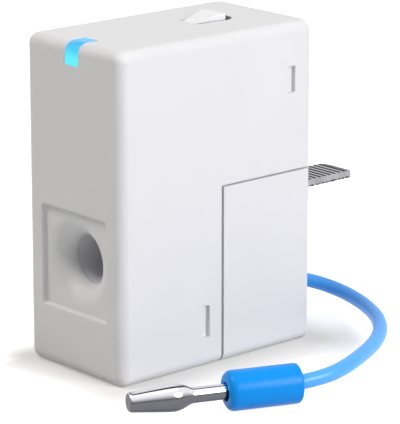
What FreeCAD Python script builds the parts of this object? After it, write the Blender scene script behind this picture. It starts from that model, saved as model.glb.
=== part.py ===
import FreeCAD, Part
import math
import os

# Energy monitor that clips behind one pole of a circuit breaker.
# Millimetres. The origin is the middle of the housing's underside, +Z is up,
# +X is across the narrow front, and the front face looks along -Y.

V = FreeCAD.Vector

# Housing, outside: one breaker module wide
housing_width = 18.0
housing_depth = 31.0
housing_height = 41.5
edge_radius = 1.4
rear_edge_chamfer = 0.3
side_wall = 1.3
top_wall = 1.3
floor_wall = 1.3
front_wall = 1.6
rear_wall = 1.3

# Joint between the cover and the base, an L on each side
base_depth = 14.65
base_height = 22.67
upright_gap = 0.28
level_gap = 0.16
joint_chamfer = 0.12
lip_reach = 1.5
lip_thickness = 0.8
cover_fit = 0.1

# Latches: a nose of the base shows in each window of the cover
window_width = 1.24
high_window_height = 3.35
high_window_from_rear = 3.3
high_window_from_top = 7.1
low_window_height = 4.1
low_window_from_joint = 2.8
low_window_from_floor = 5.95
arm_thickness = 1.1
arm_margin = 0.45
nose_below_surface = 0.35
nose_side_gap = 0.3
nose_ramp = 0.3

# Recess and bell-mouthed feed-through hole in the front
recess_width = 12.2
recess_height = 12.8
recess_depth = 0.6
recess_corner = 0.5
bore_height = 14.15
bore_radius = 3.2
bell_radius = 2.1
boss_wall = 0.6
sleeve_wall = 0.6
sleeve_seat = 0.8
sleeve_rear_seat = 0.5
sleeve_fit = 0.05
rear_mouth_chamfer = 0.4

# Serrated contact tongue
tongue_width = 5.5
tongue_thickness = 1.0
tongue_above_bore = 0.45
tongue_reach = 13.6
tongue_tip_chamfer = 0.3
groove_pitch = 0.88
groove_depth = 0.17
groove_width = 0.5
tongue_fit = 0.08
tongue_wall_gap = 0.1
groove_from_rear = 0.9
groove_from_tip = 0.7
tongue_leg_width = 3.0
tongue_solder_length = 2.6

# Light pipe over the front top edge
light_width = 2.4
light_drop = 2.8
light_run = 3.2
light_fit = 0.03
light_ear = 0.6
light_ear_margin = 0.2

# Pairing button: a tab that flexes at its root
button_root_y = 3.0
button_end_y = 7.7
button_root_half_width = 1.4
button_end_half_width = 1.87
button_slot = 0.2
button_rise = 0.8
button_web = 0.5
button_web_length = 0.9
button_thickness = 1.25
button_edge = 0.18
button_rise_start = 1.1
button_rise_middle = 2.3
button_crest_from_end = 0.9
button_end_drop = 0.06
well_wide_y = 7.45
pusher_y = 6.8
pusher_length = 1.0
pusher_width = 1.8
pusher_gap = 0.05

# Main board, upright along the housing
board_thickness = 0.8
board_end_gap = 0.12
board_above_transformer = 1.15
board_below_ceiling = 1.9
board_rib = 0.8
board_rib_depth = 0.95
board_rib_fit = 0.05
board_rib_margin = 2.4

# Pairing switch on the board's edge
switch_depth = 3.8
switch_width = 3.6
switch_height = 3.3
switch_above_board = 0.6
switch_chamfer = 0.2
plunger_radius = 0.8
plunger_stand = 0.7
plunger_inside = 0.95
plunger_fit = 0.06
plunger_travel = 0.26
plunger_dome = 0.2
solder_gap = 0.02

# Status light
led_depth = 2.0
led_width = 1.4
led_height = 1.6
led_below_board_top = 0.1
led_from_board_front = 0.5
led_lens_radius = 0.5
led_lens_height = 0.15

# Current transformer round the sleeve
transformer_length = 7.6
transformer_wall = 0.4
transformer_side_gap = 0.1
transformer_bore_gap = 0.05
transformer_front_gap = 0.1
winding_turns = 24
winding_gap = 0.1
winding_wire = 0.3
turn_width = 0.62
core_gap = 0.05
lead_radius = 0.3
lead_overlap = 1.0
lead_from_case_end = 2.3

# Radio board on its header
radio_thickness = 0.8
radio_length = 12.0
radio_from_front = 0.6
radio_below_ceiling = 2.2
radio_above_board_bottom = 1.1
shield_length = 9.0
shield_depth = 1.7
shield_sheet = 0.2
shield_round = 0.25
shield_wall_gap = 0.6
shield_antenna_gap = 1.05
shield_above_board_end = 0.4
radio_chip_size = 3.6
radio_chip_depth = 0.9
antenna_rows = 4
antenna_pitch = 1.1
antenna_trace = 0.45
antenna_thickness = 0.1
antenna_margin = 1.2
antenna_below_top = 0.4
header_pins_count = 5
header_pitch = 1.27
pin_size = 0.6
header_body = 2.5
header_height = 1.6
header_above_radio_end = 0.9
header_fit = 0.01

# Mains side of the board
capacitor_radius = 2.5
capacitor_length = 8.0
capacitor_gap = 0.3
capacitor_rise = 0.1
capacitor_rear_space = 5.05
capacitor_groove = 0.25
capacitor_groove_y = 1.2
capacitor_lead = 0.5
capacitor_lead_pitch = 2.0
capacitor_lead_run = 0.8
choke_radius = 1.9
choke_waist = 1.1
choke_length = 4.2
choke_flange = 0.6
choke_winding_gap = 0.15
choke_from_rear = 2.9
choke_above_bottom = 7.6
varistor_radius = 2.9
varistor_thickness = 3.0
varistor_edge = 0.5
varistor_stand = 0.3
varistor_from_rear = 8.45
varistor_above_bottom = 0.9
varistor_lead = 0.5
varistor_lead_pitch = 3.2
resistor_radius = 1.0
resistor_length = 6.6
resistor_stand = 0.45
resistor_cap = 1.5
resistor_waist = 0.2
resistor_from_rear = 2.2
resistor_below_top = 3.2
resistor_lead = 0.5
resistor_lead_run = 1.0

# Chips: length along the board, height up it, thickness of the body
leg_width = 0.32
leg_thickness = 0.2
leg_reach = 0.5
leg_root = 0.1
chip_stand = 0.1
metering_length = 6.4
metering_height = 5.0
metering_thickness = 1.6
metering_legs = 10
metering_from_rib = 0.25
supply_length = 4.9
supply_height = 3.7
supply_thickness = 1.4
supply_legs = 4
supply_above_bottom = 1.3
supply_from_metering = 0.7
rectifier_height = 3.6
rectifier_thickness = 1.5
rectifier_legs = 2
rectifier_below_top = 1.25

# Small resistors and capacitors, in rows
chip_part_width = 0.8
chip_part_height = 1.5
chip_part_thickness = 0.5
chip_part_pitch = 1.7
chip_row_from_end = 1.2
lower_row_count = 4
upper_row_count = 4
light_row_from_front = 3.2
light_row_below_top = 2.4
light_row_count = 5
switch_row_from_front = 14.6
switch_row_below_top = 3.4
switch_row_count = 2

# Neutral lead: its plug lies beside the housing. The wire is a plain tube
wire_radius = 0.95
wire_sides = 12
wire_hole_fit = 0.12
wire_exit_from_wall = 2.3
wire_exit_z = 4.6
inner_bend = 2.5
board_bend = 1.5
lead_rise_from_rear = 4.5
lead_pad_above_bottom = 2.3
clamp_radius = 1.9
clamp_length = 1.8
cradle_length = 1.2
sleeve_radius = 2.45
plug_sleeve_length = 9.25
plug_sleeve_nose = 1.0
plug_sleeve_rim = 0.35
plug_socket_depth = 4.5
plug_end = V(26.0, -2.4, sleeve_radius)
plug_heading = 248.3
pin_tip_radius = 1.12
pin_tip_chamfer = 0.15
pin_bulge_radius = 1.58
pin_shank_radius = 0.97
pin_length = 12.1
pin_bulge_from_tip = 5.2
pin_neck_from_tip = 7.7
pin_fit = 0.02

# Places that follow from the sizes above
half_width = housing_width / 2
front = -housing_depth / 2
rear = housing_depth / 2
inner_half = half_width - side_wall
inner_front = front + front_wall
inner_rear = rear - rear_wall
ceiling = housing_height - top_wall
joint_y = rear - base_depth
cover_edge_y = joint_y - upright_gap / 2
base_edge_y = joint_y + upright_gap / 2
cover_edge_z = base_height + level_gap / 2
base_edge_z = base_height - level_gap / 2
lip_outer = inner_half - cover_fit
lip_inner = lip_outer - lip_thickness
lip_front = cover_edge_y - lip_reach
sleeve_outer = bore_radius + sleeve_wall
recess_floor = front + recess_depth
bell_outer = bore_radius + bell_radius
bell_end = recess_floor + bell_radius
boss_end = bell_end + sleeve_seat
tongue_bottom = bore_height + bore_radius + tongue_above_bore
tongue_top = tongue_bottom + tongue_thickness
tongue_leg_front = inner_rear - tongue_wall_gap - tongue_thickness
transformer_outer = inner_half - transformer_side_gap
transformer_bore = sleeve_outer + transformer_bore_gap
transformer_front = boss_end + transformer_front_gap
transformer_rear = transformer_front + transformer_length
board_right = -switch_depth / 2 - solder_gap
board_left = board_right - board_thickness
board_bottom = bore_height + transformer_outer + board_above_transformer
board_top = ceiling - board_below_ceiling
board_front = inner_front + board_end_gap
board_rear = inner_rear - board_end_gap
switch_top = board_top + switch_above_board
switch_bottom = switch_top - switch_height
plunger_top = switch_top + plunger_stand
pusher_bottom = plunger_top + pusher_gap
tab_bottom = housing_height - button_thickness
button_axis_z = housing_height - button_web
radio_right = inner_half - shield_wall_gap - shield_depth - solder_gap
radio_left = radio_right - radio_thickness
radio_front = inner_front + radio_from_front
radio_bottom = board_bottom + radio_above_board_bottom
radio_top = ceiling - radio_below_ceiling
antenna_top = radio_top - antenna_below_top
antenna_bottom = antenna_top - (antenna_rows - 1) * antenna_pitch - antenna_trace
shield_bottom = radio_bottom + shield_above_board_end
shield_top = antenna_bottom - shield_antenna_gap
header_z = radio_bottom + header_above_radio_end
metering_front = board_front + board_rib_depth + metering_from_rib
supply_front = metering_front + metering_length + supply_from_metering
supply_bottom = board_bottom + supply_above_bottom
rectifier_top = board_top - rectifier_below_top
varistor_y = board_rear - varistor_from_rear
varistor_z = board_bottom + varistor_radius + varistor_above_bottom
choke_y = board_rear - choke_from_rear
choke_z = board_bottom + choke_above_bottom
resistor_y = board_rear - resistor_from_rear
resistor_bottom = board_top - resistor_below_top - resistor_length
capacitor_x = board_right + capacitor_rise + capacitor_radius
capacitor_front = board_rear - capacitor_rear_space - capacitor_length
capacitor_pitch = 2 * capacitor_radius + capacitor_gap
capacitor_count = int((switch_bottom - board_bottom - capacitor_gap) / capacitor_pitch)
wire_exit_x = -inner_half + wire_exit_from_wall
lead_rise_y = inner_rear - lead_rise_from_rear
lead_pad_z = board_bottom + lead_pad_above_bottom
high_window_y = rear - high_window_from_rear - window_width / 2
high_window_z = housing_height - high_window_from_top - high_window_height / 2
low_window_y = joint_y - low_window_from_joint - window_width / 2
low_window_z = low_window_from_floor - low_window_height / 2

# Route of the free neutral lead, from the housing to the plug, chosen by hand
wire_route = [
    V(wire_exit_x, rear, wire_exit_z),
    V(-5.4, 19.6, 4.6),
    V(-3.8, 23.5, 4.0),
    V(-0.4, 25.9, 3.5),
    V(4.4, 26.3, 3.1),
    V(9.7, 24.9, 2.9),
    V(14.8, 22.2, 2.9),
    V(19.1, 18.5, 2.9),
    V(22.3, 14.1, 2.9),
    V(24.8, 9.3, 3.0),
    V(26.7, 4.7, 3.0),
    V(27.2, 0.8, 2.75),
    V(26.0, -2.4, sleeve_radius),
]


# Basic solids

def block(x, y, z):
    """A box between two limits along each axis."""
    corner = V(x[0], y[0], z[0])
    return Part.makeBox(x[1] - x[0], y[1] - y[0], z[1] - z[0], corner)


def rod(start, direction, radius, length):
    return Part.makeCylinder(radius, length, start, direction)


def tube(start, direction, outer, inner, length):
    return rod(start, direction, outer, length).cut(rod(start, direction, inner, length))


def prism(points, height):
    """A closed outline of points, extruded along a vector."""
    outline = Part.makePolygon(points + [points[0]])
    return Part.Face(outline).extrude(height)


def turned(profile, origin, direction):
    """Revolves (along, radius) points about an axis; the ends close on the axis."""
    points = [V(radius, 0, along) for along, radius in profile]
    closed = [V(0, 0, profile[0][0])] + points + [V(0, 0, profile[-1][0])]
    outline = Part.makePolygon(closed + [closed[0]])
    solid = Part.Face(outline).revolve(V(0, 0, 0), V(0, 0, 1), 360)
    solid.Placement = FreeCAD.Placement(origin, FreeCAD.Rotation(V(0, 0, 1), direction))
    return solid


def fused(shapes):
    joined = shapes[0].fuse(shapes[1:]) if len(shapes) > 1 else shapes[0]
    return joined.removeSplitter()


def edges_at(shape, test):
    """Edges whose points all pass a test."""
    found = []
    for edge in shape.Edges:
        if edge.Degenerated:
            continue
        if all(test(point) for point in edge.discretize(5)):
            found.append(edge)
    return found


def centred(middle, size):
    """The two limits of a size about its middle."""
    return (middle - size / 2, middle + size / 2)


def near(value, target):
    return abs(value - target) < 1e-4


def both_sides(shape):
    """The shape and its mirror image across the housing's middle."""
    return [shape, shape.mirror(V(0, 0, 0), V(1, 0, 0))]


def rounded_path(points, bends=None):
    """Straight runs joined by tangent arcs, as one wire, with the arcs' radii."""
    edges = []
    radii = []
    start = points[0]
    for index in range(1, len(points) - 1):
        before = points[index - 1] - points[index]
        after = points[index + 1] - points[index]
        shorter = min(before.Length, after.Length)
        half_turn = (math.pi - before.getAngle(after)) / 2
        arc_radius = bends[index - 1] if bends else 0.45 * shorter / math.tan(half_turn)
        setback = arc_radius * math.tan(half_turn)
        before.normalize()
        after.normalize()
        first = points[index] + before * setback
        last = points[index] + after * setback
        inward = before + after
        inward.normalize()
        centre_distance = arc_radius / math.cos(half_turn)
        middle = points[index] + inward * (centre_distance - arc_radius)
        edges.append(Part.LineSegment(start, first).toShape())
        edges.append(Part.Arc(first, middle, last).toShape())
        radii.append(arc_radius)
        start = last
    edges.append(Part.LineSegment(start, points[-1]).toShape())
    return Part.Wire(edges), radii


def wire_along(path, start, direction):
    """The wire as a plain tube with flat sides, swept along a path."""
    aside = direction.cross(V(0, 0, 1)).normalize()
    step = 2 * math.pi / wire_sides
    ring = []
    for side in range(wire_sides):
        angle = step * (side + 0.5)
        ring.append(start + aside * (wire_radius * math.cos(angle)) + V(0, 0, wire_radius * math.sin(angle)))
    return path.makePipeShell([Part.makePolygon(ring + [ring[0]])], True, False)


def square_lead(points, width):
    """A lead bent at right angles: a square bar along each run."""
    half = width / 2
    bars = []
    for start, end in zip(points, points[1:]):
        bars.append(block((min(start.x, end.x) - half, max(start.x, end.x) + half),
                          (min(start.y, end.y) - half, max(start.y, end.y) + half),
                          (min(start.z, end.z) - half, max(start.z, end.z) + half)))
    return bars


# Housing

def case_blank():
    """The whole outside of the closed housing, as one solid."""
    def on_rear(point):
        return near(point.y, rear)
    blank = block((-half_width, half_width), (front, rear), (0, housing_height))
    soft = [edge for edge in blank.Edges if not all(on_rear(end.Point) for end in edge.Vertexes)]
    blank = blank.makeFillet(edge_radius, soft)
    return blank.makeChamfer(rear_edge_chamfer, edges_at(blank, on_rear))


def base_space():
    """The corner of the housing that the base fills, outside the joint."""
    return block((-half_width - 1, half_width + 1), (cover_edge_y, rear + 1), (-1, cover_edge_z))


def recess_tool():
    half = recess_width / 2
    low = bore_height - recess_height / 2
    high = low + recess_height

    def on_corner(point):
        return near(abs(point.x), half) and (near(point.z, low) or near(point.z, high))
    tool = block((-half, half), (front - 1, recess_floor), (low, high))
    return tool.makeFillet(recess_corner, edges_at(tool, on_corner))


def bell_tool():
    """The hole in the cover: a mouth that rolls in to the bore."""
    middle = bell_radius * (1 - math.sqrt(0.5))
    outer = V(bell_outer, 0, recess_floor)
    inner = V(bore_radius, 0, bell_end)
    lip = Part.Arc(outer, V(bore_radius + middle, 0, recess_floor + middle), inner).toShape()
    low = recess_floor - 1
    high = boss_end + 1
    path = Part.makePolygon([inner, V(bore_radius, 0, high), V(0, 0, high), V(0, 0, low),
                             V(bell_outer, 0, low), outer])
    face = Part.Face(Part.Wire([lip] + path.Edges))
    solid = face.revolve(V(0, 0, 0), V(0, 0, 1), 360)
    solid.Placement = FreeCAD.Placement(V(0, 0, bore_height), FreeCAD.Rotation(V(0, 0, 1), V(0, 1, 0)))
    return solid


def window(low_y, low_z, height):
    """A latch window through the cover's right side."""
    return block((inner_half - 1, half_width + 1), (low_y, low_y + window_width), (low_z, low_z + height))


def well_outline(shrink):
    """Plan of the button's well; its rear end is a half circle."""
    root = button_root_half_width + button_slot - shrink
    wide = well_half_width() - shrink
    left = Part.LineSegment(V(-root, button_root_y, 0), V(-wide, well_wide_y, 0)).toShape()
    far = V(0, well_wide_y + wide, 0)
    round_end = Part.Arc(V(-wide, well_wide_y, 0), far, V(wide, well_wide_y, 0)).toShape()
    right = Part.LineSegment(V(wide, well_wide_y, 0), V(root, button_root_y, 0)).toShape()
    close = Part.LineSegment(V(root, button_root_y, 0), V(-root, button_root_y, 0)).toShape()
    return Part.Face(Part.Wire([left, round_end, right, close]))


def well_half_width():
    """Half width of the well where its half circle starts."""
    slope = (button_end_half_width - button_root_half_width) / (button_end_y - button_root_y)
    return button_root_half_width + button_slot + slope * (well_wide_y - button_root_y)


def well_tool():
    tool = well_outline(0).extrude(V(0, 0, top_wall + 2))
    tool.translate(V(0, 0, ceiling - 1))
    return tool


def board_ribs(start_y, end_y, low_z, high_z):
    """Two ribs that hold one upright edge of the main board between them."""
    left = board_left - board_rib_fit
    right = board_right + board_rib_fit
    return [
        block((left - board_rib, left), (start_y, end_y), (low_z, high_z)),
        block((right, right + board_rib), (start_y, end_y), (low_z, high_z)),
    ]


def front_cover():
    shell = case_blank()
    shell = shell.cut(block((-inner_half, inner_half), (inner_front, rear + 1), (floor_wall, ceiling)))
    shell = shell.cut(base_space())
    boss = rod(V(0, inner_front - front_wall / 2, bore_height), V(0, 1, 0), bell_outer + boss_wall,
               boss_end - inner_front + front_wall / 2)
    ribs = board_ribs(inner_front - front_wall / 2, board_front + board_rib_depth,
                      board_bottom + board_rib_margin, board_top - board_rib_margin)
    shell = fused([shell, boss] + ribs)
    shell = shell.cut([recess_tool(), bell_tool(), well_tool(), light_slot()])
    seat = rod(V(0, bell_end, bore_height), V(0, 1, 0), sleeve_outer + sleeve_fit, sleeve_seat + 1)
    shell = shell.cut(seat)
    for tool in (window(high_window_y, high_window_z, high_window_height),
                 window(low_window_y, low_window_z, low_window_height)):
        shell = shell.cut(both_sides(tool))
    return chamfer_joint(shell)


def chamfer_joint(shell):
    """A fine chamfer on the cover's outer edge along the joint."""
    def on_joint(point):
        upright = near(point.y, cover_edge_y) and point.z < cover_edge_z + 1e-4
        level = near(point.z, cover_edge_z) and point.y > cover_edge_y - 1e-4
        outside = near(abs(point.x), half_width)
        return outside and (upright or level)
    return shell.makeChamfer(joint_chamfer, edges_at(shell, on_joint))


def latch(low_y, low_z, height, root_y):
    """An arm inside the right wall, with the nose that snaps into a window."""
    catch_y = low_y + window_width - nose_side_gap
    ramp_y = low_y + nose_side_gap / 3
    nose_z = low_z + nose_side_gap
    nose_x = half_width - nose_below_surface
    arm = block((lip_outer - arm_thickness, lip_outer), (ramp_y - arm_margin, root_y),
                (low_z - arm_margin, low_z + height + arm_margin))
    nose = prism([V(lip_outer, ramp_y, nose_z), V(nose_x, catch_y - nose_ramp, nose_z),
                  V(nose_x, catch_y, nose_z), V(lip_outer, catch_y, nose_z)],
                 V(0, 0, height - 2 * nose_side_gap))
    return arm.fuse(nose)


def base_tray():
    """The flush block low at the back: floor, sides and rear wall."""
    outside = block((-half_width - 1, half_width + 1), (base_edge_y, rear + 1), (-1, base_edge_z))
    inside = block((-inner_half, inner_half), (base_edge_y - 1, inner_rear), (floor_wall, base_edge_z + 1))
    return case_blank().common(outside).cut(inside)


def base_lip():
    """The tongue of the base that slides inside the cover, and closes the joint."""
    inner_floor = floor_wall + cover_fit
    side_low = base_edge_z - lip_reach
    outer = block((-lip_outer, lip_outer), (lip_front, base_edge_y), (inner_floor, base_edge_z))
    root = block((-inner_half, inner_half), (base_edge_y, base_edge_y + lip_reach), (floor_wall, base_edge_z))
    hollow = block((-lip_inner, lip_inner), (lip_front - 1, rear),
                   (inner_floor + lip_thickness, base_edge_z + 1))
    side = block((lip_inner, lip_outer), (base_edge_y, inner_rear), (side_low, cover_edge_z + lip_reach))
    side_root = block((lip_inner, inner_half), (base_edge_y, inner_rear), (side_low, base_edge_z))
    return [outer.fuse(root).cut(hollow)] + both_sides(side) + both_sides(side_root)


def rear_base():
    plate = block((-lip_outer, lip_outer), (inner_rear, rear), (base_edge_z - 1, ceiling - cover_fit))
    high_latch = latch(high_window_y, high_window_z, high_window_height, inner_rear)
    low_latch = latch(low_window_y, low_window_z, low_window_height, base_edge_y)
    ribs = board_ribs(board_rear - board_rib_depth, inner_rear,
                      board_bottom + tongue_solder_length + board_rib_margin, board_top - board_rib_margin)
    cradle = block((wire_exit_x - clamp_radius, wire_exit_x + clamp_radius),
                   (inner_rear - clamp_length, inner_rear - clamp_length + cradle_length),
                   (floor_wall, wire_exit_z))
    parts = [base_tray(), plate, cradle] + ribs + base_lip()
    parts += both_sides(high_latch) + both_sides(low_latch)
    return fused(parts).cut(rear_wall_holes())


def rear_wall_holes():
    """The bore's rear mouth, the sleeve's seat, the tongue's slot and the wire's hole."""
    inward = V(0, -1, 0)
    mouth = turned([(0, bore_radius + rear_mouth_chamfer), (rear_mouth_chamfer, bore_radius),
                    (rear_wall + 1, bore_radius)], V(0, rear, bore_height), inward)
    seat = rod(V(0, inner_rear + sleeve_rear_seat, bore_height), inward, sleeve_outer + sleeve_fit,
               sleeve_rear_seat + 1)
    slot_half = tongue_width / 2 + tongue_fit
    slot = block((-slot_half, slot_half), (inner_rear - 1, rear + 1),
                 (tongue_bottom - tongue_fit, tongue_top + tongue_fit))
    wire_hole = rod(V(wire_exit_x, rear + 1, wire_exit_z), inward, wire_radius + wire_hole_fit, rear_wall + 2)
    clamp_space = rod(V(wire_exit_x, inner_rear, wire_exit_z), inward, clamp_radius + solder_gap,
                      clamp_length + 1)
    return [mouth, seat, slot, wire_hole, clamp_space]


def conductor_sleeve():
    """The insulating tube that the metered conductor goes through."""
    start = bell_end + sleeve_fit
    end = inner_rear + sleeve_rear_seat - sleeve_fit
    sleeve = tube(V(0, start, bore_height), V(0, 1, 0), sleeve_outer, bore_radius, end - start)
    half = tongue_width / 2 + 2 * tongue_fit
    notch = block((-half, half), (tongue_leg_front - tongue_fit, end + 1),
                  (tongue_bottom - tongue_fit, tongue_top))
    return sleeve.cut(notch)


# Light pipe

def light_bar(width, grow):
    return block((-width / 2, width / 2), (front - 1, front + light_run + grow),
                 (housing_height - light_drop - grow, housing_height + 1))


def light_slot():
    return light_bar(light_width + 2 * light_fit, light_fit)


def light_pipe():
    """The bar that carries the light out, and the ears that hold it inside the cover."""
    bar = light_bar(light_width, 0).common(case_blank())
    ear_half = light_width / 2 + light_ear
    ears = block((-ear_half, ear_half), (inner_front + light_fit, front + light_run - light_ear_margin),
                 (housing_height - light_drop + light_ear_margin, ceiling - light_fit))
    return fused([bar, ears])


# Pairing button and its switch

def button_profile():
    """Side view of the tab: flush at the root, then a soft rise to its end."""
    top = housing_height
    end = V(0, button_end_y, top + button_rise - button_end_drop)
    crown = Part.BSplineCurve()
    crown.interpolate([V(0, button_root_y, top),
                       V(0, button_root_y + button_rise_start, top + 0.1 * button_rise),
                       V(0, button_root_y + button_rise_middle, top + 0.55 * button_rise),
                       V(0, button_end_y - button_crest_from_end, top + button_rise), end])
    web_end = button_root_y + button_web_length
    rest = Part.makePolygon([end, V(0, button_end_y, tab_bottom), V(0, web_end, tab_bottom),
                             V(0, web_end, button_axis_z), V(0, button_root_y, button_axis_z),
                             V(0, button_root_y, top)])
    return Part.Face(Part.Wire([crown.toShape()] + rest.Edges))


def pairing_button():
    reach = button_end_half_width + 1
    side = button_profile().extrude(V(2 * reach, 0, 0))
    side.translate(V(-reach, 0, 0))
    plan = well_outline(button_slot).extrude(V(0, 0, 2 * housing_height))
    tab = side.common(plan)

    def on_crest(point):
        return near(point.y, button_end_y) and point.z > housing_height + 0.3 * button_rise
    crest = [edge for edge in edges_at(tab, on_crest) if edge.BoundBox.XLength > button_end_half_width]
    tab = tab.makeFillet(button_edge, crest)
    pusher = block(centred(0, pusher_width), centred(pusher_y, pusher_length),
                   (pusher_bottom, tab_bottom + button_edge))
    return fused([tab, pusher])


def switch_body():
    half = switch_depth / 2
    body = block((-half, half), centred(pusher_y, switch_width), (switch_bottom, switch_top))
    body = body.makeChamfer(switch_chamfer, edges_at(body, lambda point: near(point.x, half)))
    well_bottom = switch_top - plunger_inside - plunger_travel - plunger_fit
    well = rod(V(0, pusher_y, well_bottom), V(0, 0, 1), plunger_radius + plunger_fit, switch_height)
    return body.cut(well)


def switch_plunger():
    """A round stem with a domed head."""
    head = plunger_stand + plunger_inside
    profile = [(0, plunger_radius), (head - plunger_dome, plunger_radius),
               (head, plunger_radius - 2 * plunger_dome)]
    return turned(profile, V(0, pusher_y, switch_top - plunger_inside), V(0, 0, 1))


# Boards and what they carry

def on_board(side, rise, y, z):
    """A block on the main board; rise is (from, to) above its left or right face."""
    if side == "right":
        return block((board_right + rise[0], board_right + rise[1]), y, z)
    return block((board_left - rise[1], board_left - rise[0]), y, z)


def main_board():
    return block((board_left, board_right), (board_front, board_rear), (board_bottom, board_top))


def gull_chip(side, y, z, thickness, legs):
    """A moulded chip whose legs stand out along its two upright sides."""
    parts = [on_board(side, (chip_stand, chip_stand + thickness), y, z)]
    pitch = (y[1] - y[0]) / legs
    shoulder = chip_stand + thickness / 2
    for index in range(legs):
        span = centred(y[0] + pitch * (index + 0.5), leg_width)
        for edge, way in ((z[0], -1), (z[1], 1)):
            tip = edge + way * leg_reach
            reach = sorted((edge - way * leg_root, tip))
            foot = sorted((tip - way * leg_thickness, tip))
            parts.append(on_board(side, (shoulder - leg_thickness, shoulder), span, reach))
            parts.append(on_board(side, (solder_gap, shoulder), span, foot))
    return fused(parts)





def metering_chip():
    y = (metering_front, metering_front + metering_length)
    z = centred((board_bottom + board_top) / 2, metering_height)
    return gull_chip("left", y, z, metering_thickness, metering_legs)


def supply_chip():
    y = (supply_front, supply_front + supply_length)
    z = (supply_bottom, supply_bottom + supply_height)
    return gull_chip("left", y, z, supply_thickness, supply_legs)


def rectifier():
    y = (supply_front, supply_front + supply_length)
    z = (rectifier_top - rectifier_height, rectifier_top)
    return gull_chip("left", y, z, rectifier_thickness, rectifier_legs)


def varistor():
    """A coated disc, flat against the board on two short leads."""
    start = board_left - varistor_stand
    profile = [(0, varistor_radius - varistor_edge), (varistor_edge, varistor_radius),
               (varistor_thickness - varistor_edge, varistor_radius),
               (varistor_thickness, varistor_radius - varistor_edge)]
    disc = turned(profile, V(start, varistor_y, varistor_z), V(-1, 0, 0))
    leads = []
    for y in centred(varistor_y, varistor_lead_pitch):
        leads.append(block((start - varistor_edge, board_left - solder_gap), centred(y, varistor_lead),
                           centred(varistor_z, varistor_lead)))
    return fused([disc] + leads)





def smoothing_capacitors():
    """Cans that lie on the board, one above the other, as many as fit under the switch."""
    groove = centred(capacitor_groove_y, 2 * capacitor_groove)
    waist = capacitor_radius - capacitor_groove
    profile = [(0, capacitor_radius), (groove[0], capacitor_radius), (capacitor_groove_y, waist),
               (groove[1], capacitor_radius), (capacitor_length, capacitor_radius)]
    foot_x = board_right + solder_gap + capacitor_lead / 2
    bend_y = capacitor_front - capacitor_lead_run
    cans = []
    for row in range(capacitor_count):
        z = board_bottom + capacitor_gap + capacitor_radius + row * capacitor_pitch
        can = turned(profile, V(capacitor_x, capacitor_front, z), V(0, 1, 0))
        leads = []
        for lead_z in centred(z, capacitor_lead_pitch):
            leads += square_lead([V(capacitor_x, capacitor_front, lead_z), V(capacitor_x, bend_y, lead_z),
                                  V(foot_x, bend_y, lead_z)], capacitor_lead)
        cans.append(fused([can] + leads))
    return Part.Compound(cans)


def choke_core():
    """A small bobbin that stands out from the board."""
    ends = choke_length - choke_flange
    profile = [(0, choke_radius), (choke_flange, choke_radius), (choke_flange, choke_waist),
               (ends, choke_waist), (ends, choke_radius), (choke_length, choke_radius)]
    return turned(profile, V(board_right + solder_gap, choke_y, choke_z), V(1, 0, 0))


def choke_winding():
    start = V(board_right + choke_flange + 2 * solder_gap, choke_y, choke_z)
    length = choke_length - 2 * choke_flange - 2 * solder_gap
    return tube(start, V(1, 0, 0), choke_radius - choke_winding_gap, choke_waist + solder_gap, length)


def fusible_resistor():
    """A waisted body along the board's rear edge, its leads bent back to the board."""
    x = board_left - resistor_stand - resistor_radius
    waist = resistor_radius - resistor_waist
    top = resistor_bottom + resistor_length
    profile = [(0, resistor_radius), (resistor_cap, resistor_radius), (resistor_cap + resistor_waist, waist),
               (resistor_length - resistor_cap - resistor_waist, waist),
               (resistor_length - resistor_cap, resistor_radius), (resistor_length, resistor_radius)]
    body = turned(profile, V(x, resistor_y, resistor_bottom), V(0, 0, 1))
    foot_x = board_left - solder_gap - resistor_lead / 2
    leads = []
    for start, run in ((resistor_bottom, -resistor_lead_run), (top, resistor_lead_run)):
        bend = V(x, resistor_y, start + run)
        leads += square_lead([V(x, resistor_y, start), bend, V(foot_x, resistor_y, bend.z)], resistor_lead)
    return fused([body] + leads)


def chip_row(side, start_y, z, count):
    row = []
    for index in range(count):
        y = start_y + chip_part_pitch * index
        row.append(on_board(side, (solder_gap, solder_gap + chip_part_thickness), (y, y + chip_part_width),
                            centred(z, chip_part_height)))
    return row


def chip_parts():
    """Small resistors and capacitors in rows on both faces of the board."""
    parts = chip_row("left", metering_front, board_bottom + chip_row_from_end, lower_row_count)
    parts += chip_row("left", metering_front, board_top - chip_row_from_end, upper_row_count)
    parts += chip_row("right", board_front + light_row_from_front, board_top - light_row_below_top,
                      light_row_count)
    parts += chip_row("right", board_front + switch_row_from_front, board_top - switch_row_below_top,
                      switch_row_count)
    return Part.Compound(parts)


def status_led():
    """A light in a block, with a round lens that faces the light pipe."""
    top = board_top - led_below_board_top
    y = board_front + led_from_board_front
    body = on_board("right", (solder_gap, led_depth), (y, y + led_width), (top - led_height, top))
    lens = rod(V(board_right + led_depth / 2, y + led_width / 2, top - led_lens_height), V(0, 0, 1),
               led_lens_radius, 2 * led_lens_height)
    return fused([body, lens])


# Radio board

def radio_board():
    return block((radio_left, radio_right), (radio_front, radio_front + radio_length),
                 (radio_bottom, radio_top))


def header_row():
    """Places of the header's pins along the boards."""
    middle = radio_front + radio_length / 2
    first = middle - header_pitch * (header_pins_count - 1) / 2
    return [first + header_pitch * index for index in range(header_pins_count)]





def header_block():
    row = header_row()
    margin = header_pitch / 2
    body = block((board_right + solder_gap, board_right + header_body), (row[0] - margin, row[-1] + margin),
                 centred(header_z, header_height))
    return body.cut(header_bars(header_fit))


def header_bars(grow):
    size = pin_size + 2 * grow
    bars = []
    for y in header_row():
        bars.append(block((board_right + solder_gap, radio_left - solder_gap), centred(y, size),
                          centred(header_z, size)))
    return Part.Compound(bars)


def header_pins():
    return header_bars(0)


def shield_span():
    """Limits of the shield along the radio board."""
    return centred(radio_front + radio_length / 2, shield_length)


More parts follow.
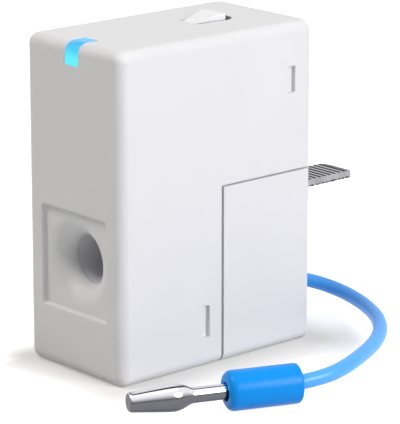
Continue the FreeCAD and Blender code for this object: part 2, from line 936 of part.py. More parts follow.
def radio_shield():
    """A sheet can with an open back, over the radio chip."""
    y = shield_span()
    outer_x = radio_right + solder_gap + shield_depth
    can = block((radio_right + solder_gap, outer_x), y, (shield_bottom, shield_top))
    can = can.makeChamfer(shield_round, edges_at(can, lambda point: near(point.x, outer_x)))
    hollow = block((radio_right - 1, outer_x - shield_sheet), (y[0] + shield_sheet, y[1] - shield_sheet),
                   (shield_bottom + shield_sheet, shield_top - shield_sheet))
    return can.cut(hollow)


def radio_chip():
    x = radio_right + solder_gap
    y = sum(shield_span()) / 2
    z = (shield_bottom + shield_top) / 2
    return block((x, x + radio_chip_depth), centred(y, radio_chip_size), centred(z, radio_chip_size))


def antenna_strip():
    """A folded copper strip along the top of the radio board."""
    low_y = radio_front + antenna_margin
    high_y = radio_front + radio_length - antenna_margin
    x = (radio_right, radio_right + antenna_thickness)
    parts = []
    for row in range(antenna_rows):
        z = antenna_top - row * antenna_pitch
        parts.append(block(x, (low_y, high_y), (z - antenna_trace, z)))
        if row:
            end = low_y if row % 2 else high_y - antenna_trace
            parts.append(block(x, (end, end + antenna_trace), (z - antenna_trace, z + antenna_pitch)))
    return fused(parts)


# Current transformer

def transformer_case():
    """A cup round the sleeve, open at the back."""
    start = V(0, transformer_front, bore_height)
    length = transformer_length - transformer_wall
    cup = tube(start, V(0, 1, 0), transformer_outer, transformer_bore, length)
    hollow = tube(start + V(0, transformer_wall, 0), V(0, 1, 0), transformer_outer - transformer_wall,
                  transformer_bore + transformer_wall, length)
    return cup.cut(hollow)


def transformer_lid():
    start = V(0, transformer_rear - transformer_wall, bore_height)
    return tube(start, V(0, 1, 0), transformer_outer, transformer_bore, transformer_wall)


def winding_space():
    """Inner and outer radius, start and length of the space for the winding."""
    inner = transformer_bore + transformer_wall + winding_gap
    outer = transformer_outer - transformer_wall - winding_gap
    start = transformer_front + transformer_wall + winding_gap
    length = transformer_length - 2 * transformer_wall - 2 * winding_gap
    return inner, outer, start, length


def transformer_core():
    inner, outer, start, length = winding_space()
    skin = winding_wire + core_gap
    return tube(V(0, start + skin, bore_height), V(0, 1, 0), outer - skin, inner + skin, length - 2 * skin)


def transformer_winding():
    """Turns of wire round the core, each a flat frame, spaced evenly."""
    inner, outer, start, length = winding_space()
    frame = block((-turn_width / 2, turn_width / 2), (start, start + length), (inner, outer))
    inside = block((-turn_width, turn_width), (start + winding_wire, start + length - winding_wire),
                   (inner + winding_wire, outer - winding_wire))
    turn = frame.cut(inside)
    turns = []
    for index in range(winding_turns):
        copy = turn.copy()
        copy.rotate(V(0, 0, 0), V(0, 1, 0), 360.0 * index / winding_turns)
        copy.translate(V(0, 0, bore_height))
        turns.append(copy)
    return Part.Compound(turns)


def transformer_leads():
    """Two pins from the case up to the board's lower edge."""
    x = board_right + solder_gap + lead_radius
    low = bore_height + math.sqrt(transformer_outer ** 2 - (abs(x) - lead_radius) ** 2) + solder_gap
    leads = []
    for y in (transformer_front + lead_from_case_end, transformer_rear - lead_from_case_end):
        leads.append(rod(V(x, y, low), V(0, 0, 1), lead_radius, board_bottom + lead_overlap - low))
    return Part.Compound(leads)


# Contact tongue

def groove(y, z, direction):
    """A V across the blade, cut into its top or its underside."""
    half = groove_width / 2
    reach = tongue_width / 2 + 1
    over = groove_depth * direction
    slope = over * half / groove_depth * direction
    points = [V(-reach, y - half - slope, z + over), V(-reach, y + half + slope, z + over),
              V(-reach, y, z - direction * groove_depth)]
    return prism(points, V(2 * reach, 0, 0))


def contact_tongue():
    half = tongue_width / 2
    tip = rear + tongue_reach
    leg_x = board_right + solder_gap
    blade = block((-half, half), (tongue_leg_front, tip), (tongue_bottom, tongue_top))
    tip_edges = edges_at(blade, lambda p: near(p.y, tip))
    blade = blade.makeChamfer(tongue_tip_chamfer, [edge for edge in tip_edges if edge.BoundBox.XLength > 1])
    grooves = []
    count = int((tongue_reach - groove_from_rear - groove_from_tip) / groove_pitch)
    for index in range(count):
        y = rear + groove_from_rear + groove_pitch * index
        grooves.append(groove(y, tongue_top, 1))
        grooves.append(groove(y, tongue_bottom, -1))
    blade = blade.cut(grooves)
    leg = block((leg_x, leg_x + tongue_leg_width), (tongue_leg_front, tongue_leg_front + tongue_thickness),
                (tongue_bottom, board_bottom + tongue_solder_length))
    return fused([blade, leg])


# Neutral lead

def neutral_lead():
    """The stretch inside: from the rear wall up to the main board."""
    start = V(wire_exit_x, rear, wire_exit_z)
    corners = [start, V(wire_exit_x, lead_rise_y, wire_exit_z), V(wire_exit_x, lead_rise_y, lead_pad_z),
               V(board_left - solder_gap, lead_rise_y, lead_pad_z)]
    return wire_along(rounded_path(corners, [inner_bend, board_bend])[0], start, V(0, -1, 0))


def wire_clamp():
    """A ring crimped on the lead, too large for the hole in the rear wall."""
    start = V(wire_exit_x, inner_rear - clamp_length, wire_exit_z)
    return tube(start, V(0, 1, 0), clamp_radius, wire_radius + solder_gap, clamp_length - solder_gap)


def neutral_wire():
    """The free stretch, from the rear wall to the plug."""
    path, radii = rounded_path(wire_route)
    shape = wire_along(path, wire_route[0], V(0, 1, 0))
    section = wire_sides / 2 * wire_radius ** 2 * math.sin(2 * math.pi / wire_sides)
    print("wire length %.1f, volume ratio %.4f" % (path.Length, shape.Volume / (section * path.Length)))
    print("wire bend radii " + " ".join("%.1f" % radius for radius in radii))
    return shape.cut(plug_sleeve())


def plug_direction():
    angle = math.radians(plug_heading)
    return V(math.cos(angle), math.sin(angle), 0)


def plug_sleeve():
    """The insulating grip, with a socket for the pin's shank."""
    length = plug_sleeve_length
    nose = plug_sleeve_nose
    body = turned([(0, sleeve_radius - plug_sleeve_rim), (plug_sleeve_rim, sleeve_radius),
                   (length - nose, sleeve_radius), (length - 0.3 * nose, sleeve_radius - 0.3 * nose),
                   (length, sleeve_radius - nose)], plug_end, plug_direction())
    far = plug_end + plug_direction() * length
    return body.cut(rod(far, plug_direction() * -1, pin_shank_radius + pin_fit, plug_socket_depth))


def plug_pin():
    """A turned pin: flat tip, slow taper, soft shoulder and thin shank."""
    neck = pin_neck_from_tip
    bulge = pin_bulge_from_tip
    slope = neck - bulge
    drop = pin_bulge_radius - pin_shank_radius
    profile = [(0, pin_tip_radius - pin_tip_chamfer), (pin_tip_chamfer, pin_tip_radius),
               (bulge, pin_bulge_radius), (bulge + 0.25 * slope, pin_bulge_radius - 0.12 * drop),
               (bulge + 0.65 * slope, pin_shank_radius + 0.35 * drop), (neck, pin_shank_radius),
               (pin_length + plug_socket_depth - pin_fit, pin_shank_radius)]
    tip = plug_end + plug_direction() * (plug_sleeve_length + pin_length)
    return turned(profile, tip, plug_direction() * -1)


NODES = {
    "front_cover": front_cover,
    "rear_base": rear_base,
    "conductor_sleeve": conductor_sleeve,
    "light_pipe": light_pipe,
    "pairing_button": pairing_button,
    "switch_body": switch_body,
    "switch_plunger": switch_plunger,
    "status_led": status_led,
    "main_board": main_board,
    "metering_chip": metering_chip,
    "supply_chip": supply_chip,
    "rectifier": rectifier,
    "varistor": varistor,
    "smoothing_capacitors": smoothing_capacitors,
    "choke_core": choke_core,
    "choke_winding": choke_winding,
    "fusible_resistor": fusible_resistor,
    "chip_parts": chip_parts,
    "radio_board": radio_board,
    "header_block": header_block,
    "header_pins": header_pins,
    "radio_shield": radio_shield,
    "radio_chip": radio_chip,
    "antenna_strip": antenna_strip,
    "transformer_case": transformer_case,
    "transformer_lid": transformer_lid,
    "transformer_core": transformer_core,
    "transformer_winding": transformer_winding,
    "transformer_leads": transformer_leads,
    "contact_tongue": contact_tongue,
    "neutral_lead": neutral_lead,
    "wire_clamp": wire_clamp,
    "neutral_wire": neutral_wire,
    "plug_sleeve": plug_sleeve,
    "plug_pin": plug_pin,
}


os.makedirs("parts", exist_ok=True)
for node, make in NODES.items():
    shape = make()
    shape.exportStep("parts/%s.step" % node)
    print("%-22s solids %2d volume %9.2f valid %s" % (node, len(shape.Solids), shape.Volume, shape.isValid()))
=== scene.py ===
# %% [markdown]
# The object is a small energy monitor that clips behind one pole of a breaker:
# a narrow white housing with a hole for the conductor, a serrated metal tongue
# at the back, a push button, a glowing light pipe and a short blue lead with a
# pin. Its solid model comes from the workshop as a fixed frame. Every node
# already lies where it belongs, in metres, so this file only adds the looks.

# %% Load the frame
import bmesh
import bpy
import math
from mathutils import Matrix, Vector


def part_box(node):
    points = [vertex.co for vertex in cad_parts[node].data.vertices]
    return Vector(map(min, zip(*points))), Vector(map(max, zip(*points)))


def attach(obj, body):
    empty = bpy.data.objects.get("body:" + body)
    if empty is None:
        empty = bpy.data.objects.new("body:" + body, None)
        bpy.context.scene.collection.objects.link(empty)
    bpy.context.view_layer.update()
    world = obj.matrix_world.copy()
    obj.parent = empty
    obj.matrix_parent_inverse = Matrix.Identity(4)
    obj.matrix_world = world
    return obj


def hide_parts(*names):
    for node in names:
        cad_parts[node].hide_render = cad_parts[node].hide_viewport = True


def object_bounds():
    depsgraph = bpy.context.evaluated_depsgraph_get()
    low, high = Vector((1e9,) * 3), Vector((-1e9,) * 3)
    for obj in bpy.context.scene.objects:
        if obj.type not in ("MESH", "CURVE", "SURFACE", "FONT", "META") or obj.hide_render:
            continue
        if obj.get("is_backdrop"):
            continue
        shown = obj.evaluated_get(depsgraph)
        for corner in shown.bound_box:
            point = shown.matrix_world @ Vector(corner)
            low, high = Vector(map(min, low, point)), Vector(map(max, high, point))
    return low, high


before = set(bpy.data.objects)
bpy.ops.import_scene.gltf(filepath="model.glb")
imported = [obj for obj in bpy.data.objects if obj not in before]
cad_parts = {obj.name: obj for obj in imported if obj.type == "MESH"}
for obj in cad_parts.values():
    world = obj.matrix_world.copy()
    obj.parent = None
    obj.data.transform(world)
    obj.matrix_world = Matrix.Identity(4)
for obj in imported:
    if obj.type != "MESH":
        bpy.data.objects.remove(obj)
cad_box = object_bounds()
MM = 0.001
print("nodes:", len(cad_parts), "box:", cad_box)

# %% [markdown]
# The camera looks down on the front right corner of the housing. Its place was
# worked out from the outline of the housing, whose edges are all square, so a
# long lens a third of a metre away gives the same gentle perspective.

# %% Camera
AZIMUTH = math.radians(48.4845)
ELEVATION = math.radians(15.2885)
CAMERA_PLACE = Vector((0.25469, -0.22044, 0.10984))
LENS = 237.46

back = Vector((math.sin(AZIMUTH) * math.cos(ELEVATION),
               -math.cos(AZIMUTH) * math.cos(ELEVATION), math.sin(ELEVATION)))
camera_data = bpy.data.cameras.new("camera")
camera_data.lens = LENS
camera_data.clip_start = 0.01
camera = bpy.data.objects.new("camera", camera_data)
camera.location = CAMERA_PLACE
camera.rotation_euler = back.to_track_quat("Z", "Y").to_euler()
bpy.context.scene.collection.objects.link(camera)
bpy.context.scene.camera = camera
bpy.context.scene.view_settings.view_transform = "Standard"
print("camera looks along", -back)

# %% [markdown]
# Every piece is made the same way: a mesh or a curve is linked to the scene, gets one material, hides the
# nodes that it stands for, and rides on its body. Node trees are long to write out, so one helper adds a
# node, sets it up and links it, for shaders and for geometry alike.

# %% Helpers for pieces and node trees
def link(name, data):
    piece = bpy.data.objects.new(name, data)
    bpy.context.scene.collection.objects.link(piece)
    return piece


def dress(piece, material, slot, body, *nodes):
    """Gives a finished piece its material and body, and hides the nodes that it stands for. The slot is not
    used.
    """
    piece.data.materials.clear()
    piece.data.materials.append(material)
    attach(piece, body)
    if nodes:
        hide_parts(*nodes)


def add(tree, kind, inputs=None, **settings):
    """One node. An input is a plain value or another node's output."""
    made = tree.nodes.new(kind)
    for name, value in settings.items():
        setattr(made, name, value)
    for name, value in (inputs or {}).items():
        if isinstance(value, bpy.types.NodeSocket):
            tree.links.new(value, made.inputs[name])
        else:
            made.inputs[name].default_value = value
    return made


def new_group(name, kind, takes, gives):
    """A node group with named sockets, and its two end nodes."""
    tree = bpy.data.node_groups.new(name, kind)
    for label, (socket, value) in takes.items():
        made = tree.interface.new_socket(label, in_out="INPUT", socket_type="NodeSocket" + socket)
        if value is not None:
            made.default_value = value
    for label, socket in gives.items():
        tree.interface.new_socket(label, in_out="OUTPUT", socket_type="NodeSocket" + socket)
    return tree, tree.nodes.new("NodeGroupInput").outputs, tree.nodes.new("NodeGroupOutput")


def calculate(tree, operation, *values):
    return add(tree, "ShaderNodeMath", dict(enumerate(values)), operation=operation).outputs[0]


def blend_colours(tree, factor, first, second):
    made = add(tree, "ShaderNodeMix", {0: factor, 6: first, 7: second}, data_type="RGBA")
    return made.outputs[2]


def rescale(tree, value, low, high):
    """Stretches a value between 0 and 1 to run from low to high."""
    return add(tree, "ShaderNodeMapRange", {"Value": value, "To Min": low, "To Max": high}).outputs[0]


def paint(red, green, blue):
    """A colour as it is read off a screen, 0 to 255, as the linear colour that shaders take."""
    return tuple(((part / 255 + 0.055) / 1.055) ** 2.4 for part in (red, green, blue)) + (1.0,)


def shades(red, green, blue, spread=8):
    """Two shades of one colour, a little darker and a little lighter."""
    return tuple(paint(*(min(255, max(0, part + way * spread)) for part in (red, green, blue)))
                 for way in (-1, 1))


print("helpers ready")

# %% [markdown]
# Moulded plastic is never quite even: the tool leaves a fine spark-eroded grain,
# and the flow of the melt leaves faint broad patches. Two noises of different
# size give both, as one group that every plastic here uses with its own scale.

# %% Shader group for moulded plastic
def noise(tree, place, scale, detail, roughness=0.5):
    """A noise at that place, between 0 and 1."""
    settings = {"Vector": place, "Scale": scale, "Detail": detail, "Roughness": roughness}
    return add(tree, "ShaderNodeTexNoise", settings).outputs[0]


def share_out(tree, first, second, share):
    """The first value with that share and the second with the rest."""
    rest = calculate(tree, "MULTIPLY", second, 1 - share)
    return calculate(tree, "MULTIPLY_ADD", first, share, rest)


moulded_skin, take, give = new_group(
    "moulded_skin", "ShaderNodeTree",
    {"Place": ("Vector", None), "Scale": ("Float", 4000.0), "Flow": ("Float", 90.0)},
    {"Height": "Float", "Tone": "Float"})
fine = noise(moulded_skin, take["Place"], take["Scale"], 3.0, roughness=0.6)
broad = noise(moulded_skin, take["Place"], take["Flow"], 2.0)
moulded_skin.links.new(fine, give.inputs["Height"])
moulded_skin.links.new(share_out(moulded_skin, broad, fine, 0.7), give.inputs["Tone"])
print("group:", moulded_skin.name)

# %% [markdown]
# Drawn, brushed or turned metal has fine lines that all run one way. Stretching
# the noise along that way before it is looked up gives them, so the group takes
# a stretch as well as a scale, and adds a few wider stains for uneven plating.

# %% Shader group for lined metal
lined_metal, take, give = new_group(
    "lined_metal", "ShaderNodeTree",
    {"Place": ("Vector", None), "Stretch": ("Vector", (1.0, 1.0, 1.0)), "Stains": ("Float", 500.0)},
    {"Height": "Float", "Tone": "Float"})
stretched = add(lined_metal, "ShaderNodeVectorMath", {0: take["Place"], 1: take["Stretch"]},
                operation="MULTIPLY").outputs[0]
lines = noise(lined_metal, stretched, 1.0, 4.0)
stains = noise(lined_metal, take["Place"], take["Stains"], 2.0)
lined_metal.links.new(lines, give.inputs["Height"])
lined_metal.links.new(share_out(lined_metal, stains, lines, 0.4), give.inputs["Tone"])
print("group:", lined_metal.name)

# %% [markdown]
# The slots round the button get painted shade on their walls, so that they look darker than the lamps alone
# make them. One group finds the walls of the well, for the housing's and the button's plastic alike. The
# painted shade grows over a short depth below the lip. Every other test gives 0 or 1, so multiplying by them
# all leaves the painted shade only where every one of them holds.

# %% Shader group for the painted shade in the slots
def reckoner(tree):
    """A shorter way to calculate many times in the same tree."""
    return lambda operation, *values: calculate(tree, operation, *values)


dusty_slots, take, give = new_group(
    "dusty_slots", "ShaderNodeTree",
    {"Place": ("Vector", None), "Half Width": ("Float", 2.4 * MM), "Root": ("Float", 2.7 * MM),
     "End": ("Float", 9.8 * MM), "Lip": ("Float", 41.47 * MM), "Depth": ("Float", 0.07 * MM),
     "Bottom": ("Float", 39.0 * MM)},
    {"Dust": "Float"})
reckon = reckoner(dusty_slots)
split = add(dusty_slots, "ShaderNodeSeparateXYZ", {0: take["Place"]}).outputs
# painted shade: 1 at the lip of the well's walls, growing over a short depth below it
slot_shade = reckon("DIVIDE", reckon("SUBTRACT", take["Lip"], split["Z"]), take["Depth"])
slot_shade = reckon("MINIMUM", reckon("MAXIMUM", slot_shade, 0.0), 1.0)
for value, test, limit in ((split["Y"], "GREATER_THAN", take["Root"]),
                           (split["Y"], "LESS_THAN", take["End"]),
                           (reckon("ABSOLUTE", split["X"]), "LESS_THAN", take["Half Width"]),
                           (split["Z"], "GREATER_THAN", take["Bottom"])):
    slot_shade = reckon("MULTIPLY", slot_shade, reckon(test, value, limit))
dusty_slots.links.new(slot_shade, give.inputs["Dust"])
print("group:", dusty_slots.name)

# %% [markdown]
# One function makes any plastic and another any metal. The colour moves a little
# with the group's tone, so do the roughness and, through a bump, the normal.
# What is the same all over, such as metallic, is set on the shader itself.

# %% Plastics and metals
def new_material(name):
    material = bpy.data.materials.new(name)
    material.use_nodes = True
    tree = material.node_tree
    place = add(tree, "ShaderNodeTexCoord").outputs["Object"]
    return material, tree, tree.nodes["Principled BSDF"], place


def surface(tree, shader, colours, skin, roughness, depth):
    """Feeds colour, roughness and bump from a group's height and tone."""
    low, high = roughness
    tree.links.new(blend_colours(tree, skin.outputs["Tone"], *colours), shader.inputs["Base Color"])
    tree.links.new(rescale(tree, skin.outputs["Tone"], low, high), shader.inputs["Roughness"])
    bump = add(tree, "ShaderNodeBump", {"Height": skin.outputs["Height"], "Distance": depth * MM})
    tree.links.new(bump.outputs[0], shader.inputs["Normal"])


def plastic(name, colours, roughness, scale=4000.0, depth=0.004, coat=0.0):
    material, tree, shader, place = new_material(name)
    skin = add(tree, "ShaderNodeGroup", {"Place": place, "Scale": scale}, node_tree=moulded_skin)
    surface(tree, shader, colours, skin, roughness, depth)
    shader.inputs["Coat Weight"].default_value = coat
    return material


def metal(name, colours, roughness, stretch, depth=0.002, turn=0.0):
    """Lined metal. The stretch is lines per metre along each axis after the turn about Z."""
    material, tree, shader, place = new_material(name)
    turned = add(tree, "ShaderNodeMapping", {"Vector": place, "Rotation": (0.0, 0.0, turn)}).outputs[0]
    skin = add(tree, "ShaderNodeGroup", {"Place": turned, "Stretch": stretch}, node_tree=lined_metal)
    surface(tree, shader, colours, skin, roughness, depth)
    shader.inputs["Metallic"].default_value = 1.0
    return material


def lay_over(tree, shader, mask, colour):
    """Lays a second colour over a material's own wherever the mask is 1."""
    below = shader.inputs["Base Color"].links[0].from_socket
    tree.links.new(blend_colours(tree, mask, below, colour), shader.inputs["Base Color"])


housing_white = plastic("housing_white", (paint(228, 228, 230), paint(236, 236, 238)), (0.42, 0.56))
# The button's plastic is painted lighter than the housing's, a painted highlight for the light on its domed
# top.
button_white = plastic("button_white", (paint(244, 244, 246), paint(252, 252, 253)), (0.36, 0.5))
# Both plastics get a painted shade, a grey colour, on the walls of the well round the button.
for moulded in (housing_white, button_white):
    tree = moulded.node_tree
    place = add(tree, "ShaderNodeTexCoord").outputs["Object"]
    slot_shade = add(tree, "ShaderNodeGroup", {"Place": place}, node_tree=dusty_slots)
    lay_over(tree, tree.nodes["Principled BSDF"], slot_shade.outputs["Dust"], paint(138, 138, 140))
sleeve_grey = plastic("sleeve_grey", (paint(222, 222, 228), paint(232, 232, 238)), (0.35, 0.5))
print("plastics and metals ready")

# %% [markdown]
# A solid from the workshop is a set of loose triangles. For the moulded pieces
# that show, a copy is merged and its flat faces are joined again, so that a
# bevel can round every edge a little, as a mould does. Weighted normals then
# keep the large flat faces flat and let only the rounded strips turn the light.

# %% Copies with softened edges
MERGE = 0.5e-6


def merged_copy(node):
    """A node's mesh with its triangles joined into whole faces, for editing."""
    work = bmesh.new()
    work.from_mesh(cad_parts[node].data)
    bmesh.ops.remove_doubles(work, verts=work.verts, dist=MERGE)
    bmesh.ops.dissolve_limit(work, angle_limit=math.radians(1), verts=work.verts, edges=work.edges)
    return work


def freeze(piece):
    """Turns the result of the modifiers into the piece's own mesh."""
    graph = bpy.context.evaluated_depsgraph_get()
    mesh = bpy.data.meshes.new_from_object(piece.evaluated_get(graph), preserve_all_data_layers=True,
                                           depsgraph=graph)
    piece.modifiers.clear()
    piece.data = mesh
    mesh.name = piece.name
    return piece


def softened(name, work, width, steps=2, sharp=30):
    """Makes a piece from an edited mesh, with a fine bevel and weighted normals."""
    mesh = bpy.data.meshes.new(name)
    work.to_mesh(mesh)
    work.free()
    mesh.shade_smooth()
    piece = link(name, mesh)
    bevel = piece.modifiers.new("soft edges", "BEVEL")
    bevel.width = width * MM
    bevel.segments = steps
    bevel.limit_method = "ANGLE"
    bevel.angle_limit = math.radians(sharp)
    bevel.use_clamp_overlap = True
    weighted = piece.modifiers.new("flat faces stay flat", "WEIGHTED_NORMAL")
    weighted.mode = "FACE_AREA"
    weighted.keep_sharp = False
    freeze(piece)
    print(name, len(piece.data.polygons), "faces")
    return piece


# %% [markdown]
# The cover is most of the housing. The well round the button opens a little,
# because the real slots are wider at the surface. The bell of the bore flares
# out further and reaches deeper than a plain quarter round, until it runs into
# the sleeve without a step. Both are only moves of the points that are there.

# %% Well and bell of the cover
NEAR = 0.02
WELL_ABOVE = 40.1
WELL_BACK = (2.9, 9.6)
WELL_HALF = 2.1
WELL_WIDER = 1.06
RECESS_FLOOR = -14.9
BORE_RADIUS = 3.2
BORE_HEIGHT = 14.15
BELL_REACH = 5.35
BELL_WIDER = 1.24
BELL_END = -12.7
BELL_DEEPER = 1.33

cover = merged_copy("front_cover")
for point in cover.verts:
    x, y, z = (value / MM for value in point.co)
    if z > WELL_ABOVE and WELL_BACK[0] < y < WELL_BACK[1] and abs(x) < WELL_HALF:
        point.co.x *= WELL_WIDER
    reach = math.hypot(x, z - BORE_HEIGHT)
    if BORE_RADIUS - NEAR < reach < BELL_REACH and RECESS_FLOOR - NEAR / 2 < y < BELL_END:
        spread = (BORE_RADIUS + (reach - BORE_RADIUS) * BELL_WIDER) / reach
        point.co.x = x * spread * MM
        point.co.y = (RECESS_FLOOR + (y - RECESS_FLOOR) * BELL_DEEPER) * MM
        point.co.z = (BORE_HEIGHT + (z - BORE_HEIGHT) * spread) * MM
print("cover:", len(cover.verts), "points")

# %% [markdown]
# The recess in the front has a much softer edge than the rest: the real one
# shows a broad light band along its bottom. So the edges of the recess are
# picked by their place and rounded first, the outer rim and the inner corner
# alike, and the fine bevel comes after.

# %% Recess of the cover
FRONT = -15.5
RECESS_HALF = 6.1
RECESS_LOW = 7.75
RECESS_HIGH = 20.55
OUTLINE_BAND = 0.6
RIM_ROUND = 0.17
INNER_ROUND = 0.22


def on_recess(edge, depth):
    """True if both ends lie on the recess's outline at that depth."""
    for point in edge.verts:
        x, y, z = (value / MM for value in point.co)
        inside = abs(x) < RECESS_HALF + NEAR and RECESS_LOW - NEAR < z < RECESS_HIGH + NEAR
        outline = (abs(x) > RECESS_HALF - OUTLINE_BAND or z < RECESS_LOW + OUTLINE_BAND
                   or z > RECESS_HIGH - OUTLINE_BAND)
        if not (inside and outline and abs(y - depth) < NEAR / 2):
            return False
    return edge.calc_face_angle(0) > math.radians(40)


for depth, size in ((FRONT, RIM_ROUND), (RECESS_FLOOR, INNER_ROUND)):
    rim = [edge for edge in cover.edges if on_recess(edge, depth)]
    bmesh.ops.bevel(cover, geom=rim, offset=size * MM, offset_type="OFFSET", segments=5, profile=0.5,
                    affect="EDGES", clamp_overlap=True)
    print("recess edges at", depth, len(rim))
dress(softened("cover_shell", cover, 0.06), housing_white, "housing_white", "housing", "front_cover")

# %% [markdown]
# The insulating sleeve lines the bore and begins where the bell ends, so its
# front end moves back by as much as the bell reaches deeper.

# %% Sleeve
FRONT_RING = 0.3
sleeve = merged_copy("conductor_sleeve")
sleeve_front = min(point.co.y for point in sleeve.verts)
bell_grows = (BELL_DEEPER - 1) * (sleeve_front / MM - RECESS_FLOOR)
for point in sleeve.verts:
    if point.co.y < sleeve_front + FRONT_RING * MM:
        point.co.y += bell_grows * MM
print("sleeve begins at", sleeve_front / MM + bell_grows)
dress(softened("sleeve_tube", sleeve, 0.03), sleeve_grey, "sleeve_grey", "housing", "conductor_sleeve")

# %% [markdown]
# The base is the flush block low at the back, with the latch arms whose noses
# show in the windows. A nose fills its window from edge to edge and stands back
# a little, so the only shade in a window is on the wall that faces forward. The
# fine bevel gives the thin light line under the joint.

# %% Base
WINDOWS = ((11.58, 12.82, 32.7, 36.1), (-2.57, -1.33, 3.85, 7.95))
HAIR = 0.02
SIDE_WALL = 8.2
NOSE_FACE = 8.42


def fill_window(work, left, right, low, high):
    """Spreads the nose in a window, on both sides, until only a hair of gap is left."""
    nose = [point for point in work.verts if abs(point.co.x) > SIDE_WALL * MM
            and left * MM < point.co.y < right * MM and low * MM < point.co.z < high * MM]
    middle = sum((point.co for point in nose), Vector()) / len(nose)
    for point in nose:
        point.co.y = (left + HAIR if point.co.y < middle.y else right - HAIR) * MM
        point.co.z = (low + HAIR if point.co.z < middle.z else high - HAIR) * MM
        point.co.x = math.copysign(NOSE_FACE * MM, point.co.x)
    print("nose points:", len(nose))


base = merged_copy("rear_base")
for window in WINDOWS:
    fill_window(base, *window)
dress(softened("base_block", base, 0.07), housing_white, "housing_white", "housing", "rear_base")

# %% [markdown]
# The button is one tongue of the same plastic, cut free on three sides and flexing at its root, and its
# colour is painted lighter for the light on its domed top. It rides on its own body. The pusher under it is
# inside. Its sides draw in a little, which opens the slots to the width that they show.
# Its sides draw in a little, which opens the slots to the width that they show.

# %% Button
TAB_NARROWER = 0.93
tab = merged_copy("pairing_button")
for point in tab.verts:
    point.co.x *= TAB_NARROWER
dress(softened("button_tab", tab, 0.09, steps=3, sharp=25), button_white, "button_white", "button",
      "pairing_button")

# %% [markdown]
# The light pipe is a clear bar that carries the light of a blue diode over the
# edge. It glows most where it looks straight at the eye of somebody in front of
# it and is deeper in colour on top, so its own light follows its height.

# %% Light pipe
GLOW_FOOT = 39.6
GLOW_HEAD = 41.75


def ramp(tree, value, start, end):
    """0 at the start, 1 at the end and straight between them."""
    return add(tree, "ShaderNodeMapRange", {"Value": value, "From Min": start, "From Max": end}).outputs[0]


light_blue, tree, shader, place = new_material("light_blue")
skin = add(tree, "ShaderNodeGroup", {"Place": place, "Scale": 900.0, "Flow": 400.0}, node_tree=moulded_skin)
height = add(tree, "ShaderNodeSeparateXYZ", {0: place}).outputs["Z"]
upper = ramp(tree, height, GLOW_FOOT * MM, GLOW_HEAD * MM)
upper = calculate(tree, "MULTIPLY_ADD", skin.outputs["Tone"], 0.12, upper)
glow = blend_colours(tree, upper, paint(84, 236, 250), paint(0, 130, 190))
tree.links.new(glow, shader.inputs["Emission Color"])
shader.inputs["Emission Strength"].default_value = 0.86
shader.inputs["Specular IOR Level"].default_value = 0.3
surface(tree, shader, (paint(44, 130, 168), paint(58, 150, 188)), skin, (0.2, 0.32), 0.002)
dress(softened("light_guide", merged_copy("light_pipe"), 0.05), light_blue, "light_blue", "housing",
      "light_pipe")

# %% [markdown]
# The free lead is a soft single wire, 57 mm long from the back wall to its plug, and the photograph shows all
# of it. It leaves the wall at the level of its hole, sinks to the floor's height and swings round the corner
# in one loose curve. A smooth spline through a few control points draws just that. The wire also glows a
# little with a painted light of its own, which keeps some blue in its shaded parts. The tone that blends the
# two blues of its colour blends those of that painted glow as well.

# %% Neutral lead
WIRE_RADIUS = 0.935
PLUG_END = Vector((26.0, -2.4, 2.45))
ROUTE = [(-5.4, 15.5, 4.6), (-5.4, 19.6, 4.6), (-3.8, 23.5, 4.0), (-0.4, 25.9, 3.5), (4.4, 26.3, 3.1),
         (9.7, 24.9, 2.9), (14.8, 22.2, 2.9), (19.1, 18.5, 2.9), (22.3, 14.1, 2.9), (24.8, 9.3, 3.0),
         (26.7, 4.7, 3.0), (27.2, 0.8, 2.75), PLUG_END]

lead_data = bpy.data.curves.new("lead_wire", "CURVE")
lead_data.dimensions = "3D"
lead_data.bevel_depth = WIRE_RADIUS * MM
lead_data.bevel_resolution = 6
lead_data.use_fill_caps = True
spline = lead_data.splines.new("NURBS")
spline.points.add(len(ROUTE) - 1)
for point, stop in zip(spline.points, ROUTE):
    point.co = (*(Vector(stop) * MM), 1.0)
spline.order_u = 3
spline.use_endpoint_u = True
spline.resolution_u = 12
spline.use_smooth = True
lead_wire = link("lead_wire", lead_data)
wire_blue = plastic("wire_blue", (paint(74, 160, 234), paint(86, 172, 244)), (0.3, 0.42), scale=2500.0,
                    depth=0.006)
tree = wire_blue.node_tree
shader = tree.nodes["Principled BSDF"]
tone = shader.inputs["Base Color"].links[0].from_node.inputs[0].links[0].from_socket
# painted glow: emission on the wire that brightens its shaded parts
painted_glow_blue = blend_colours(tree, tone, paint(10, 66, 124), paint(14, 76, 142))
tree.links.new(painted_glow_blue, shader.inputs["Emission Color"])
shader.inputs["Emission Strength"].default_value = 1.0
print("lead through", len(ROUTE), "points")

# %% [markdown]
# The plug's grip and its pin are turned parts, round about one axis. Both come
# from a profile of distance along the axis and radius. The helper turns such a
# profile into rings of points, closes both ends, and places the piece along
# the plug's own direction.

# %% Turned pieces
PLUG_TURN = math.radians(248.3)
PLUG_WAY = Vector((math.cos(PLUG_TURN), math.sin(PLUG_TURN), 0.0))


